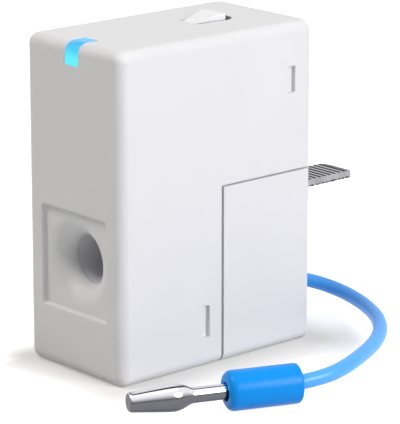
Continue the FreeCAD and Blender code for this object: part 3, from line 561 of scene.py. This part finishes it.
def turned_piece(name, profile, sides=64):
    """Rings about the plug's axis, with a flat face over the first and the last one."""
    aside = PLUG_WAY.cross(Vector((0, 0, 1)))
    points = []
    for along, radius in profile:
        for side in range(sides):
            angle = 2 * math.pi * side / sides
            out = aside * math.cos(angle) + Vector((0, 0, 1)) * math.sin(angle)
            points.append((PLUG_END + PLUG_WAY * along + out * radius) * MM)
    faces = []
    for ring in range(len(profile) - 1):
        for side in range(sides):
            after = (side + 1) % sides
            faces.append((ring * sides + side, ring * sides + after, (ring + 1) * sides + after,
                          (ring + 1) * sides + side))
    faces.append(tuple(reversed(range(sides))))
    faces.append(tuple((len(profile) - 1) * sides + side for side in range(sides)))
    mesh = bpy.data.meshes.new(name)
    mesh.from_pydata(points, [], faces)
    work = bmesh.new()
    work.from_mesh(mesh)
    bmesh.ops.recalc_face_normals(work, faces=work.faces)
    work.to_mesh(mesh)
    work.free()
    mesh.shade_smooth()
    mesh.set_sharp_from_angle(angle=math.radians(40))
    print(name, len(faces), "faces")
    return link(name, mesh)


def arc(centre, radius, start, end, steps=8):
    """Points of a profile along part of a circle, angles in degrees."""
    turns = [math.radians(start + (end - start) * step / steps) for step in range(steps + 1)]
    return [(centre[0] + radius * math.cos(turn), centre[1] + radius * math.sin(turn)) for turn in turns]


# %% [markdown]
# The grip is a soft-shouldered blue barrel. The end that the wire enters has a
# small radius, the nose a larger one, and the pin goes into a shallow mouth.

# %% Plug grip
GRIP_RADIUS = 2.45
GRIP_LENGTH = 9.25
REAR_ROUND = 0.4
NOSE_ROUND = 0.95
LIP_ROUND = 0.12
MOUTH_RADIUS = 1.3
HOLE_RADIUS = 0.99
HOLE_END = 4.77
grip_profile = [(0, 0.4)] + arc((REAR_ROUND, GRIP_RADIUS - REAR_ROUND), REAR_ROUND, 180, 90)
grip_profile += arc((GRIP_LENGTH - NOSE_ROUND, GRIP_RADIUS - NOSE_ROUND), NOSE_ROUND, 90, 0)
grip_profile += arc((GRIP_LENGTH - LIP_ROUND, MOUTH_RADIUS), LIP_ROUND, 0, -90, steps=4)
grip_profile += [(GRIP_LENGTH - 0.55, MOUTH_RADIUS - 0.15), (GRIP_LENGTH - 0.62, HOLE_RADIUS),
                 (HOLE_END, HOLE_RADIUS), (HOLE_END, 0.3)]
plug_grip = turned_piece("plug_grip", grip_profile)
plug_blue = plastic("plug_blue", (paint(4, 140, 236), paint(16, 158, 248)), (0.26, 0.36), scale=3000.0,
                    depth=0.002)
plug_blue.node_tree.nodes["Principled BSDF"].inputs["Specular IOR Level"].default_value = 0.15
dress(plug_grip, plug_blue, "plug_blue", "housing", "plug_sleeve")

# %% [markdown]
# The pin is turned from brass and plated bright: a flat tip, a slow taper out to a bulge, a soft shoulder
# down to a thin shank that runs on into the grip. Its colour carries painted reflections, whose masks follow
# the height of the normal: a painted mid grey low on its side, a painted dark underside and one fine painted
# dark line along the top. The flat tip face is painted dark too.

# %% Pin
PIN_ROOT = 4.8
PIN_TIP = GRIP_LENGTH + 12.06
SHANK_RADIUS = 0.97
LOWER_SIDE_REFLECTION = (0.58, 0.26)
UNDER_REFLECTION = (-0.45, -0.88)
REFLECTED_LINE_MIDDLE = 0.89
REFLECTED_LINE_HALF = 0.05
PAINTED_TIP_DEPTH = 0.03

pin_profile = [(PIN_ROOT, 0.3), (PIN_ROOT, SHANK_RADIUS), (13.2, SHANK_RADIUS), (13.4, 0.99), (13.75, 1.08),
               (14.1, 1.23), (14.5, 1.41), (14.9, 1.56), (15.3, 1.66), (15.7, 1.71), (16.2, 1.7),
               (16.7, 1.66), (20.9, 1.22), (21.05, 1.2), (PIN_TIP - 0.08, 1.12), (PIN_TIP, 1.03),
               (PIN_TIP, 0.3)]
pin_chrome = metal("pin_chrome", (paint(226, 226, 230), paint(246, 246, 249)), (0.05, 0.12),
                   (9000.0, 300.0, 300.0), depth=0.00005, turn=-PLUG_TURN)
tree = pin_chrome.node_tree
shader = tree.nodes["Principled BSDF"]
facing = add(tree, "ShaderNodeTexCoord").outputs["Normal"]
facing = add(tree, "ShaderNodeSeparateXYZ", {0: facing}).outputs["Z"]
# painted reflections: mid grey low on the side, dark on the underside
for (start, end), colour in ((LOWER_SIDE_REFLECTION, paint(98, 98, 104)), (UNDER_REFLECTION, paint(40, 40, 44))):
    lay_over(tree, shader, ramp(tree, facing, start, end), colour)
# a painted dark reflection line along the top of the pin
line = calculate(tree, "ABSOLUTE", calculate(tree, "SUBTRACT", facing, REFLECTED_LINE_MIDDLE))
lay_over(tree, shader, ramp(tree, line, REFLECTED_LINE_HALF, REFLECTED_LINE_HALF / 2), paint(52, 52, 56))
# the flat tip face is painted dark, a painted reflection
place = add(tree, "ShaderNodeTexCoord").outputs["Object"]
reach = add(tree, "ShaderNodeVectorMath", {0: place, 1: PLUG_WAY}, operation="DOT_PRODUCT").outputs["Value"]
tip_reach = PLUG_END.dot(PLUG_WAY) + PIN_TIP - PAINTED_TIP_DEPTH
lay_over(tree, shader, calculate(tree, "GREATER_THAN", reach, tip_reach * MM), paint(50, 50, 54))
lead_pin = turned_piece("lead_pin", pin_profile)
dress(lead_pin, pin_chrome, "pin_chrome", "housing", "plug_pin")

dress(lead_wire, wire_blue, "wire_blue", "housing", "neutral_wire")

# %% [markdown]
# The contact tongue is a blade with the same groove pressed across it over and
# over, above and below, which is a rule rather than a shape to draw. A Geometry
# Nodes tree starts from a bar cut into many short steps and sinks the points of
# each groove. The depth under the blade varies, as the worn edge there does.

# %% Grooves of the tongue
STEPS_PER_GROOVE = 8
GROOVE_PITCH = 0.88
FIRST_GROOVE = 16.4
BLADE_WIDTH = 5.2
BLADE_THICK = 1.0
BLADE_ASIDE = 0.15
BLADE_HEIGHT = 18.3

tongue_tree, take, give = new_group(
    "serrated_blade", "GeometryNodeTree",
    {"Blade Size": ("Vector", (BLADE_WIDTH * MM, 16.0 * MM, BLADE_THICK * MM)),
     "Blade Middle": ("Vector", (BLADE_ASIDE * MM, 21.1 * MM, BLADE_HEIGHT * MM)),
     "Leg Size": ("Vector", (3.0 * MM, 1.0 * MM, 1.0 * MM)),
     "Leg Middle": ("Vector", (-0.4 * MM, 13.6 * MM, 20.0 * MM)),
     "Steps": ("Int", 100), "Groove Pitch": ("Float", GROOVE_PITCH * MM),
     "Groove Depth": ("Float", 0.11 * MM), "Groove Slope": ("Float", 3.6),
     "First Groove": ("Float", FIRST_GROOVE * MM), "Last Groove": ("Float", 28.2 * MM),
     "Least Depth": ("Float", 0.45), "Tip": ("Float", 29.1 * MM),
     "Tip Chamfer": ("Float", 0.6 * MM), "Tip Drop": ("Float", 0.13 * MM), "Near Cut": ("Float", 0.3 * MM),
     "Far Cut": ("Float", 1.1 * MM), "Seed": ("Int", 4), "Material": ("Material", None)},
    {"Geometry": "Geometry"})
reckon = reckoner(tongue_tree)
bar = add(tongue_tree, "GeometryNodeMeshCube", {"Size": take["Blade Size"], "Vertices Y": take["Steps"]})
placed = add(tongue_tree, "GeometryNodeTransform",
             {"Geometry": bar.outputs[0], "Translation": take["Blade Middle"]})
where = add(tongue_tree, "GeometryNodeInputPosition").outputs[0]
split = add(tongue_tree, "ShaderNodeSeparateXYZ", {0: where}).outputs
middle = add(tongue_tree, "ShaderNodeSeparateXYZ", {0: take["Blade Middle"]}).outputs["Z"]
turns = reckon("DIVIDE", reckon("SUBTRACT", split["Y"], take["First Groove"]), take["Groove Pitch"])
groove_number = reckon("ROUND", turns)
off_middle = reckon("ABSOLUTE", reckon("SUBTRACT", turns, groove_number))
vee = reckon("SUBTRACT", 1.0, reckon("MULTIPLY", off_middle, take["Groove Slope"]))
vee = reckon("MAXIMUM", vee, 0.0)
in_row = reckon("MULTIPLY", reckon("GREATER_THAN", turns, -0.5),
                reckon("LESS_THAN", split["Y"], take["Last Groove"]))
uneven = add(tongue_tree, "FunctionNodeRandomValue",
             {"Min": take["Least Depth"], "Max": 1.0, "ID": groove_number, "Seed": take["Seed"]})
uneven = [socket for socket in uneven.outputs if socket.enabled][0]
above = reckon("GREATER_THAN", split["Z"], middle)
deep = reckon("MULTIPLY", reckon("MAXIMUM", above, uneven), take["Groove Depth"])
sink = reckon("MULTIPLY", reckon("MULTIPLY", vee, in_row), deep)
print("nodes for the grooves:", len(tongue_tree.nodes))

# %% [markdown]
# At the tip the top drops a little and both corners are cut, the far one by
# more. Above the middle of the blade all sinking goes down, under it up. A plain
# leg stands at the root, where the blade goes into the housing. Every tree here
# ends alike: what was laid as instances is made real, then gets its material.

# %% Tip and leg of the tongue
def close_tree(tree, geometry, take, give):
    """Ends a tree with real geometry in its material."""
    whole = add(tree, "GeometryNodeRealizeInstances", {0: geometry})
    painted = add(tree, "GeometryNodeSetMaterial",
                  {"Geometry": whole.outputs[0], "Material": take["Material"]})
    tree.links.new(painted.outputs[0], give.inputs[0])
    print("tree:", tree.name, len(tree.nodes), "nodes")


to_tip = reckon("SUBTRACT", take["Tip"], split["Y"])
chamfer = reckon("SUBTRACT", 1.0, reckon("DIVIDE", to_tip, take["Tip Chamfer"]))
chamfer = reckon("MULTIPLY", reckon("MULTIPLY", chamfer, above), take["Tip Drop"])
sink = reckon("MAXIMUM", sink, chamfer)
way = reckon("MULTIPLY_ADD", above, -2.0, 1.0)
near = reckon("GREATER_THAN", split["X"], 0.0)
cut = reckon("MULTIPLY_ADD", reckon("SUBTRACT", 1.0, near), take["Far Cut"],
             reckon("MULTIPLY", near, take["Near Cut"]))
cut = reckon("MAXIMUM", reckon("SUBTRACT", cut, to_tip), 0.0)
inward = reckon("MULTIPLY", cut, reckon("MULTIPLY_ADD", near, -2.0, 1.0))
shift = add(tongue_tree, "ShaderNodeCombineXYZ", {"X": inward, "Z": reckon("MULTIPLY", sink, way)})
grooved = add(tongue_tree, "GeometryNodeSetPosition",
              {"Geometry": placed.outputs[0], "Offset": shift.outputs[0]})
leg = add(tongue_tree, "GeometryNodeMeshCube", {"Size": take["Leg Size"]})
leg = add(tongue_tree, "GeometryNodeTransform",
          {"Geometry": leg.outputs[0], "Translation": take["Leg Middle"]})
both = add(tongue_tree, "GeometryNodeJoinGeometry")
for part in (grooved, leg):
    tongue_tree.links.new(part.outputs[0], both.inputs[0])
close_tree(tongue_tree, both.outputs[0], take, give)

# %% [markdown]
# A tree is run by hanging it on an empty mesh, setting its inputs by their
# sockets' identifiers, and taking the evaluated result as a plain mesh. The
# next trees are run by the same helper.

# %% Run a tree
def run_tree(name, tree, **values):
    """A piece made by a Geometry Nodes tree, with its modifier already gone."""
    piece = link(name, bpy.data.meshes.new(name))
    modifier = piece.modifiers.new("tree", "NODES")
    modifier.node_group = tree
    for item in tree.interface.items_tree:
        label = item.name.replace(" ", "_").lower()
        if item.in_out == "INPUT" and label in values:
            modifier[item.identifier] = values[label]
    freeze(piece)
    print(name, len(piece.data.polygons), "faces")
    return piece


# %% [markdown]
# The blade is nickel-plated steel: grey, with slanting brush lines. Its colour carries painted shade in every
# groove and on the cut corners, and a painted highlight over its top. The same dark lies, mottled, on the
# land before the tip and, in ragged patches, along the lower edge. One group works all of that out from the
# place.

# %% Shader group for the tongue's painted shade and highlight
dark_grooves, take, give = new_group(
    "dark_grooves", "ShaderNodeTree",
    {"Place": ("Vector", None), "Pitch": ("Float", GROOVE_PITCH * MM), "First": ("Float", FIRST_GROOVE * MM),
     "Half Width": ("Float", 2.58 * MM), "Top": ("Float", 18.6 * MM), "Low": ("Float", 17.9 * MM),
     "Wear": ("Float", 0.24 * MM), "Land": ("Float", 28.1 * MM), "Corner": ("Float", 28.82 * MM)},
    {"Shade": "Float", "Crest": "Float"})
reckon = reckoner(dark_grooves)
split = add(dark_grooves, "ShaderNodeSeparateXYZ", {0: take["Place"]}).outputs
ragged = noise(dark_grooves, take["Place"], 2600.0, 3.0)
turns = reckon("DIVIDE", reckon("SUBTRACT", split["Y"], take["First"]), take["Pitch"])
off_middle = reckon("ABSOLUTE", reckon("SUBTRACT", turns, reckon("ROUND", turns)))
stripe = ramp(dark_grooves, off_middle, 0.35, 0.26)
land = reckon("MULTIPLY", reckon("GREATER_THAN", split["Y"], take["Land"]),
              rescale(dark_grooves, ragged, 0.55, 1.25))
on_top = reckon("MULTIPLY", reckon("GREATER_THAN", split["Z"], take["Top"]),
                reckon("LESS_THAN", reckon("ABSOLUTE", split["X"]), take["Half Width"]))
low_patch_top = reckon("MULTIPLY_ADD", ragged, take["Wear"], take["Low"])
dark_low_patch = reckon("MULTIPLY", reckon("LESS_THAN", split["Z"], low_patch_top),
              reckon("GREATER_THAN", ragged, 0.47))
corner = reckon("GREATER_THAN", split["Y"], take["Corner"])
# painted shade on the groove flanks and, mottled, on the land; darker on the cut corners and in patches along
# the lower edge
upper_shade = reckon("MULTIPLY", on_top, reckon("MAXIMUM", stripe, land))
lower_shade = reckon("MULTIPLY", reckon("SUBTRACT", 1.0, on_top), reckon("MAXIMUM", dark_low_patch, corner))
shade = add(dark_grooves, "ShaderNodeMath", {0: upper_shade, 1: lower_shade}, operation="ADD",
            use_clamp=True)
dark_grooves.links.new(shade.outputs[0], give.inputs["Shade"])
# painted highlight over the whole top of the blade
dark_grooves.links.new(reckon("MULTIPLY", on_top, 0.7), give.inputs["Crest"])
print("group:", dark_grooves.name)

# %% [markdown]
# The steel takes the painted highlight on its top first and the painted shade over it. The tree then runs
# with the length that the tongue has in the frame, so the two can't drift apart.

# %% Tongue
LEG_LOW = 17.9

contact_steel = metal("contact_steel", (paint(112, 112, 116), paint(190, 190, 194)), (0.3, 0.5),
                      (2500.0, 2500.0, 1100.0), depth=0.004)
tree = contact_steel.node_tree
place = add(tree, "ShaderNodeTexCoord").outputs["Object"]
shade = add(tree, "ShaderNodeGroup", {"Place": place}, node_tree=dark_grooves)
# painted highlight on the top first, then the painted shade in the grooves and on the corners
for mask, colour in (("Crest", paint(212, 212, 215)), ("Shade", paint(54, 53, 58))):
    lay_over(tree, tree.nodes["Principled BSDF"], shade.outputs[mask], colour)
blade_low, blade_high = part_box("contact_tongue")
blade_length = blade_high.y - blade_low.y
tongue = run_tree(
    "tongue_blade", tongue_tree, material=contact_steel,
    blade_size=(BLADE_WIDTH * MM, blade_length, BLADE_THICK * MM),
    blade_middle=(BLADE_ASIDE * MM, blade_low.y + blade_length / 2, BLADE_HEIGHT * MM),
    steps=int(blade_length / (GROOVE_PITCH * MM) * STEPS_PER_GROOVE) + 1,
    leg_size=(3.0 * MM, 1.0 * MM, blade_high.z - LEG_LOW * MM),
    leg_middle=(-0.4 * MM, blade_low.y + 0.5 * MM, (blade_high.z + LEG_LOW * MM) / 2),
    tip=blade_high.y)
dress(tongue, contact_steel, "contact_steel", "housing", "contact_tongue")

# %% [markdown]
# Both coils are wire laid turn by turn, so a tree lays them. The transformer's
# is a ring: one rounded loop of wire, repeated about the bore. The points of a
# circle carry the loops, each turned by its own share of the whole way round.

# %% Ring winding
ring_tree, take, give = new_group(
    "ring_winding", "GeometryNodeTree",
    {"Turns": ("Int", 62), "Ring Radius": ("Float", 5.725 * MM), "Loop Width": ("Float", 2.45 * MM),
     "Loop Height": ("Float", 6.3 * MM), "Corner": ("Float", 0.5 * MM), "Wire Radius": ("Float", 0.15 * MM),
     "Middle": ("Vector", (0.0, -8.1 * MM, 14.15 * MM)), "Material": ("Material", None)},
    {"Geometry": "Geometry"})
upright = (math.radians(90), 0.0, 0.0)
loop = add(ring_tree, "GeometryNodeCurvePrimitiveQuadrilateral",
           {"Width": take["Loop Width"], "Height": take["Loop Height"]})
loop = add(ring_tree, "GeometryNodeFilletCurve",
           {"Curve": loop.outputs[0], "Radius": take["Corner"], "Count": 4}, mode="POLY")
wire = add(ring_tree, "GeometryNodeCurvePrimitiveCircle", {"Resolution": 8, "Radius": take["Wire Radius"]})
loop = add(ring_tree, "GeometryNodeCurveToMesh",
           {"Curve": loop.outputs[0], "Profile Curve": wire.outputs[0]})
loop = add(ring_tree, "GeometryNodeTransform", {"Geometry": loop.outputs[0], "Rotation": upright})
ring = add(ring_tree, "GeometryNodeMeshCircle", {"Vertices": take["Turns"], "Radius": take["Ring Radius"]})
step = calculate(ring_tree, "DIVIDE", 2 * math.pi, take["Turns"])
turn = calculate(ring_tree, "MULTIPLY", add(ring_tree, "GeometryNodeInputIndex").outputs[0], step)
turn = add(ring_tree, "ShaderNodeCombineXYZ", {"Z": turn})
laid = add(ring_tree, "GeometryNodeInstanceOnPoints",
           {"Points": ring.outputs[0], "Instance": loop.outputs[0], "Rotation": turn.outputs[0]})
laid = add(ring_tree, "GeometryNodeTransform",
           {"Geometry": laid.outputs[0], "Translation": take["Middle"], "Rotation": upright})
close_tree(ring_tree, laid.outputs[0], take, give)

# %% [markdown]
# The choke's coil is a plain helix on its bobbin, so a spiral with the same
# radius at both ends carries the round section of the wire.

# %% Helix winding
helix_tree, take, give = new_group(
    "helix_winding", "GeometryNodeTree",
    {"Turns": ("Float", 9.0), "Coil Radius": ("Float", 1.6 * MM), "Length": ("Float", 2.66 * MM),
     "Wire Radius": ("Float", 0.145 * MM), "Start": ("Vector", (-1.13 * MM, 11.18 * MM, 30.5 * MM)),
     "Material": ("Material", None)},
    {"Geometry": "Geometry"})
lying = (0.0, math.radians(90), 0.0)
helix = add(helix_tree, "GeometryNodeCurveSpiral",
            {"Resolution": 32, "Rotations": take["Turns"], "Start Radius": take["Coil Radius"],
             "End Radius": take["Coil Radius"], "Height": take["Length"]})
wire = add(helix_tree, "GeometryNodeCurvePrimitiveCircle", {"Resolution": 8, "Radius": take["Wire Radius"]})
coil = add(helix_tree, "GeometryNodeCurveToMesh",
           {"Curve": helix.outputs[0], "Profile Curve": wire.outputs[0], "Fill Caps": True})
coil = add(helix_tree, "GeometryNodeTransform",
           {"Geometry": coil.outputs[0], "Translation": take["Start"], "Rotation": lying})
close_tree(helix_tree, coil.outputs[0], take, give)

# %% [markdown]
# The wire is copper under a clear enamel, which a thin coat over the metal
# gives. Both coils take it, each in the place of its node.

# %% Both coils
copper_wire = metal("copper_wire", shades(184, 92, 46, 12), (0.22, 0.34), (1500.0, 1500.0, 1500.0),
                    depth=0.003)
copper_wire.node_tree.nodes["Principled BSDF"].inputs["Coat Weight"].default_value = 0.4
for name, tree, node in (("ring_coil", ring_tree, "transformer_winding"),
                         ("choke_coil", helix_tree, "choke_winding")):
    coil = run_tree(name, tree, material=copper_wire)
    coil.data.shade_smooth()
    dress(coil, copper_wire, "copper_wire", "housing", node)

# %% [markdown]
# A board's solder mask follows the copper under it: broad plates with narrow
# gaps between them, and bare tinned pads. One group gives both for both boards.

# %% Shader group for circuit boards
board_copper, take, give = new_group(
    "board_copper", "ShaderNodeTree",
    {"Place": ("Vector", None), "Plates": ("Float", 420.0), "Pads": ("Float", 750.0)},
    {"Height": "Float", "Copper": "Float", "Bare": "Float"})
gaps = add(board_copper, "ShaderNodeTexVoronoi",
           {"Vector": take["Place"], "Scale": take["Plates"], "Randomness": 0.7}, feature="DISTANCE_TO_EDGE")
dots = add(board_copper, "ShaderNodeTexVoronoi",
           {"Vector": take["Place"], "Scale": take["Pads"], "Randomness": 0.25})
copper = ramp(board_copper, gaps.outputs["Distance"], 0.03, 0.06)
bare = ramp(board_copper, dots.outputs["Distance"], 0.2, 0.16)
for value, label in ((copper, "Height"), (copper, "Copper"), (bare, "Bare")):
    board_copper.links.new(value, give.inputs[label])
print("group:", board_copper.name)


def circuit_board(name, mask_colour, over_copper, plates):
    """Solder mask, lighter over its copper, with small tinned pads."""
    material, tree, shader, place = new_material(name)
    copper = add(tree, "ShaderNodeGroup", {"Place": place, "Plates": plates}, node_tree=board_copper).outputs
    masked = blend_colours(tree, copper["Copper"], mask_colour, over_copper)
    tinned = blend_colours(tree, copper["Bare"], masked, paint(196, 194, 186))
    tree.links.new(tinned, shader.inputs["Base Color"])
    tree.links.new(rescale(tree, copper["Copper"], 0.5, 0.32), shader.inputs["Roughness"])
    tree.links.new(copper["Bare"], shader.inputs["Metallic"])
    bump = add(tree, "ShaderNodeBump", {"Height": copper["Height"], "Distance": 0.03 * MM})
    tree.links.new(bump.outputs[0], shader.inputs["Normal"])
    return material


# %% [markdown]
# The pieces inside keep their shape from the workshop, so each only gets its
# material in its own slot: moulded, dipped, fired or plated.

# %% Finishes of the pieces inside
def finish(material, *nodes):
    """Gives carried-over nodes a material, in their objects' own slots."""
    for node in nodes:
        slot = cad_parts[node].material_slots[0]
        slot.link = "OBJECT"
        slot.material = material


finish(circuit_board("board_green", paint(10, 58, 30), paint(18, 82, 42), 420.0), "main_board")
finish(circuit_board("board_blue", paint(8, 24, 66), paint(14, 38, 98), 520.0), "radio_board")
finish(plastic("switch_black", shades(14, 14, 17, 4), (0.4, 0.6)), "switch_body", "header_block")
finish(plastic("plunger_grey", shades(89, 89, 94), (0.45, 0.6)), "switch_plunger")
finish(plastic("chip_black", shades(12, 12, 13, 5), (0.5, 0.7), scale=9000.0, depth=0.006),
       "metering_chip", "supply_chip", "rectifier", "radio_chip")
finish(plastic("varistor_coat", shades(26, 56, 140, 10), (0.25, 0.4), scale=1200.0, depth=0.02, coat=0.3),
       "varistor")
finish(plastic("capacitor_can", shades(26, 26, 34, 6), (0.3, 0.42), scale=1500.0, depth=0.003, coat=0.2),
       "smoothing_capacitors")
finish(plastic("ferrite", shades(31, 31, 32, 10), (0.6, 0.8), scale=7000.0, depth=0.02), "choke_core")
finish(plastic("resistor_body", shades(89, 140, 128), (0.3, 0.45), scale=1800.0, depth=0.015, coat=0.3),
       "fusible_resistor")
finish(plastic("chip_ceramic", shades(140, 122, 97, 14), (0.5, 0.65), scale=8000.0, depth=0.01), "chip_parts")
finish(plastic("transformer_black", shades(16, 16, 18, 5), (0.4, 0.58), depth=0.008),
       "transformer_case", "transformer_lid")
finish(wire_blue, "neutral_lead")
finish(metal("tinned_pins", shades(191, 189, 179, 10), (0.25, 0.4), (800.0, 6000.0, 6000.0)),
       "header_pins", "transformer_leads")
finish(metal("shield_tin", shades(184, 186, 189, 8), (0.3, 0.42), (3000.0, 500.0, 3000.0)), "radio_shield")
finish(metal("copper_strip", shades(204, 128, 71, 14), (0.28, 0.4), (2500.0, 2500.0, 500.0)), "antenna_strip")
finish(metal("core_iron", shades(77, 77, 82, 16), (0.4, 0.6), (400.0, 9000.0, 400.0), depth=0.01),
       "transformer_core")
finish(metal("clamp_metal", shades(166, 166, 168), (0.3, 0.45), (4000.0, 800.0, 4000.0)), "wire_clamp")
print("finishes:", len(bpy.data.materials))

# %% [markdown]
# The indicator's lens is clear resin and a little lit, like the pipe above it,
# so its two pale blues shine as well.

# %% Lens of the indicator
led_lens, tree, shader, place = new_material("led_lens")
skin = add(tree, "ShaderNodeGroup", {"Place": place, "Scale": 1500.0, "Flow": 300.0}, node_tree=moulded_skin)
surface(tree, shader, (paint(206, 232, 246), paint(224, 246, 255)), skin, (0.12, 0.2), 0.002)
tree.links.new(blend_colours(tree, skin.outputs["Tone"], paint(60, 200, 255), paint(120, 220, 255)),
               shader.inputs["Emission Color"])
shader.inputs["Emission Strength"].default_value = 0.5
finish(led_lens, "status_led")
print("lens:", led_lens.name)

# %% [markdown]
# The light is a plain studio. The world is weak, brighter overhead than low
# down, and gives only a soft part of the light. Camera, mirror and glass rays
# see plain white instead, so that metal and the background look clean.

# %% World
AMBIENT = 0.1


def seen_rays(tree):
    """1 for the rays that look at the background, 0 for those that carry its light."""
    path = add(tree, "ShaderNodeLightPath").outputs
    seen = calculate(tree, "MAXIMUM", path["Is Camera Ray"], path["Is Glossy Ray"])
    return calculate(tree, "MAXIMUM", seen, path["Is Transmission Ray"])


world = bpy.data.worlds.new("studio")
world.use_nodes = True
bpy.context.scene.world = world
tree = world.node_tree
plain = tree.nodes["Background"]
plain.inputs["Color"].default_value = (1.0, 0.997, 0.975, 1.0)
upward = add(tree, "ShaderNodeSeparateXYZ", {0: add(tree, "ShaderNodeTexCoord").outputs["Generated"]})
sky = rescale(tree, upward.outputs["Z"], 0.3 * AMBIENT, 1.5 * AMBIENT)
tree.links.new(sky, plain.inputs["Strength"])
white = add(tree, "ShaderNodeBackground", {"Color": (1.0, 1.0, 1.0, 1.0), "Strength": 1.0})
choice = add(tree, "ShaderNodeMixShader", {0: seen_rays(tree), 1: plain.outputs[0], 2: white.outputs[0]})
tree.links.new(choice.outputs[0], tree.nodes["World Output"].inputs["Surface"])
print("world:", world.name)

# %% [markdown]
# Three lamps make the rest. The strongest stands off to the right and lights the
# broad side. A warmer one, high at the front left, brings up the narrow front,
# which stays in half shade, and a weak one overhead softens both. All three are
# wide discs, so that no shadow has a hard edge.

# %% Lamps
def soft_lamp(name, place, aim, size, watts, colour):
    data = bpy.data.lights.new(name, "AREA")
    data.shape = "DISK"
    data.size = size
    data.energy = watts
    data.color = colour
    lamp = link(name, data)
    lamp.location = place
    lamp.rotation_euler = (Vector(place) - Vector(aim)).to_track_quat("Z", "Y").to_euler()
    print(name, watts, "W")


soft_lamp("overhead", place=(0.05, 0.08, 0.7), aim=(0, 0, 0), size=0.6, watts=0.3, colour=(1.0, 1.0, 0.99))
soft_lamp("side", place=(0.6, 0.12, 0.35), aim=(0, 0, 0.02), size=0.4, watts=3.9, colour=(0.985, 0.97, 1.0))
soft_lamp("front", place=(-0.22, -0.34, 0.6), aim=(0, 0, 0.02), size=0.3, watts=2.4,
          colour=(1.0, 0.985, 0.935))

# %% [markdown]
# The floor is white to the eye by a little light of its own that no other ray sees, and it keeps the shadows.
# Close to the housing it is darker and shines less: a painted contact shadow, the soft dark edge that an
# object has where it stands. That painted shadow is worked out from the distance to the housing's footprint,
# and ends sooner on the left, where the real one does.

# %% Floor
REACH = 2.0
FOOTPRINT_HALF = (9.0, 15.5)
SHADOW_REACH = 11.0
SOONER_LEFT = 0.8

floor_mesh = bpy.data.meshes.new("floor")
floor_mesh.from_pydata([(-REACH, -REACH, 0), (REACH, -REACH, 0), (REACH, REACH, 0), (-REACH, REACH, 0)], [],
                       [(0, 1, 2, 3)])
floor = link("floor", floor_mesh)
floor_pale = bpy.data.materials.new("floor_pale")
floor_pale.use_nodes = True
tree = floor_pale.node_tree
shader = tree.nodes["Principled BSDF"]
place = add(tree, "ShaderNodeTexCoord").outputs["Object"]
half_x, half_y = (half * MM for half in FOOTPRINT_HALF)
beyond = add(tree, "ShaderNodeVectorMath", {0: place}, operation="ABSOLUTE")
beyond = add(tree, "ShaderNodeVectorMath", {0: beyond.outputs[0], 1: (half_x, half_y, 0.0)},
             operation="SUBTRACT")
beyond = add(tree, "ShaderNodeVectorMath", {0: beyond.outputs[0], 1: (0.0, 0.0, 0.0)}, operation="MAXIMUM")
distance = add(tree, "ShaderNodeVectorMath", {0: beyond.outputs[0]}, operation="LENGTH").outputs["Value"]
left = calculate(tree, "LESS_THAN", add(tree, "ShaderNodeSeparateXYZ", {0: place}).outputs["X"], -half_x)
distance = calculate(tree, "MULTIPLY", distance, calculate(tree, "MULTIPLY_ADD", left, SOONER_LEFT, 1.0))
away = add(tree, "ShaderNodeMapRange", {"Value": distance, "From Min": 0.0, "From Max": SHADOW_REACH * MM},
           interpolation_type="SMOOTHSTEP").outputs[0]
# painted contact shadow: a darker floor colour close to the housing's footprint
colour = blend_colours(tree, away, (0.56, 0.555, 0.54, 1.0), (0.66, 0.66, 0.655, 1.0))
tree.links.new(colour, shader.inputs["Base Color"])
shader.inputs["Roughness"].default_value = 0.9
shader.inputs["Specular IOR Level"].default_value = 0.1
shader.inputs["Emission Color"].default_value = (1.0, 1.0, 1.0, 1.0)
# less own light close to the footprint, the other half of the painted contact shadow
own_light = calculate(tree, "MULTIPLY", seen_rays(tree), rescale(tree, away, 0.3, 0.84))
tree.links.new(own_light, shader.inputs["Emission Strength"])
floor_mesh.materials.append(floor_pale)
floor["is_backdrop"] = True
print("floor ready")

# %% Finish
size = {"cad": [list(corner) for corner in cad_box], "visual": [list(corner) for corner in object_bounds()]}
print(size)
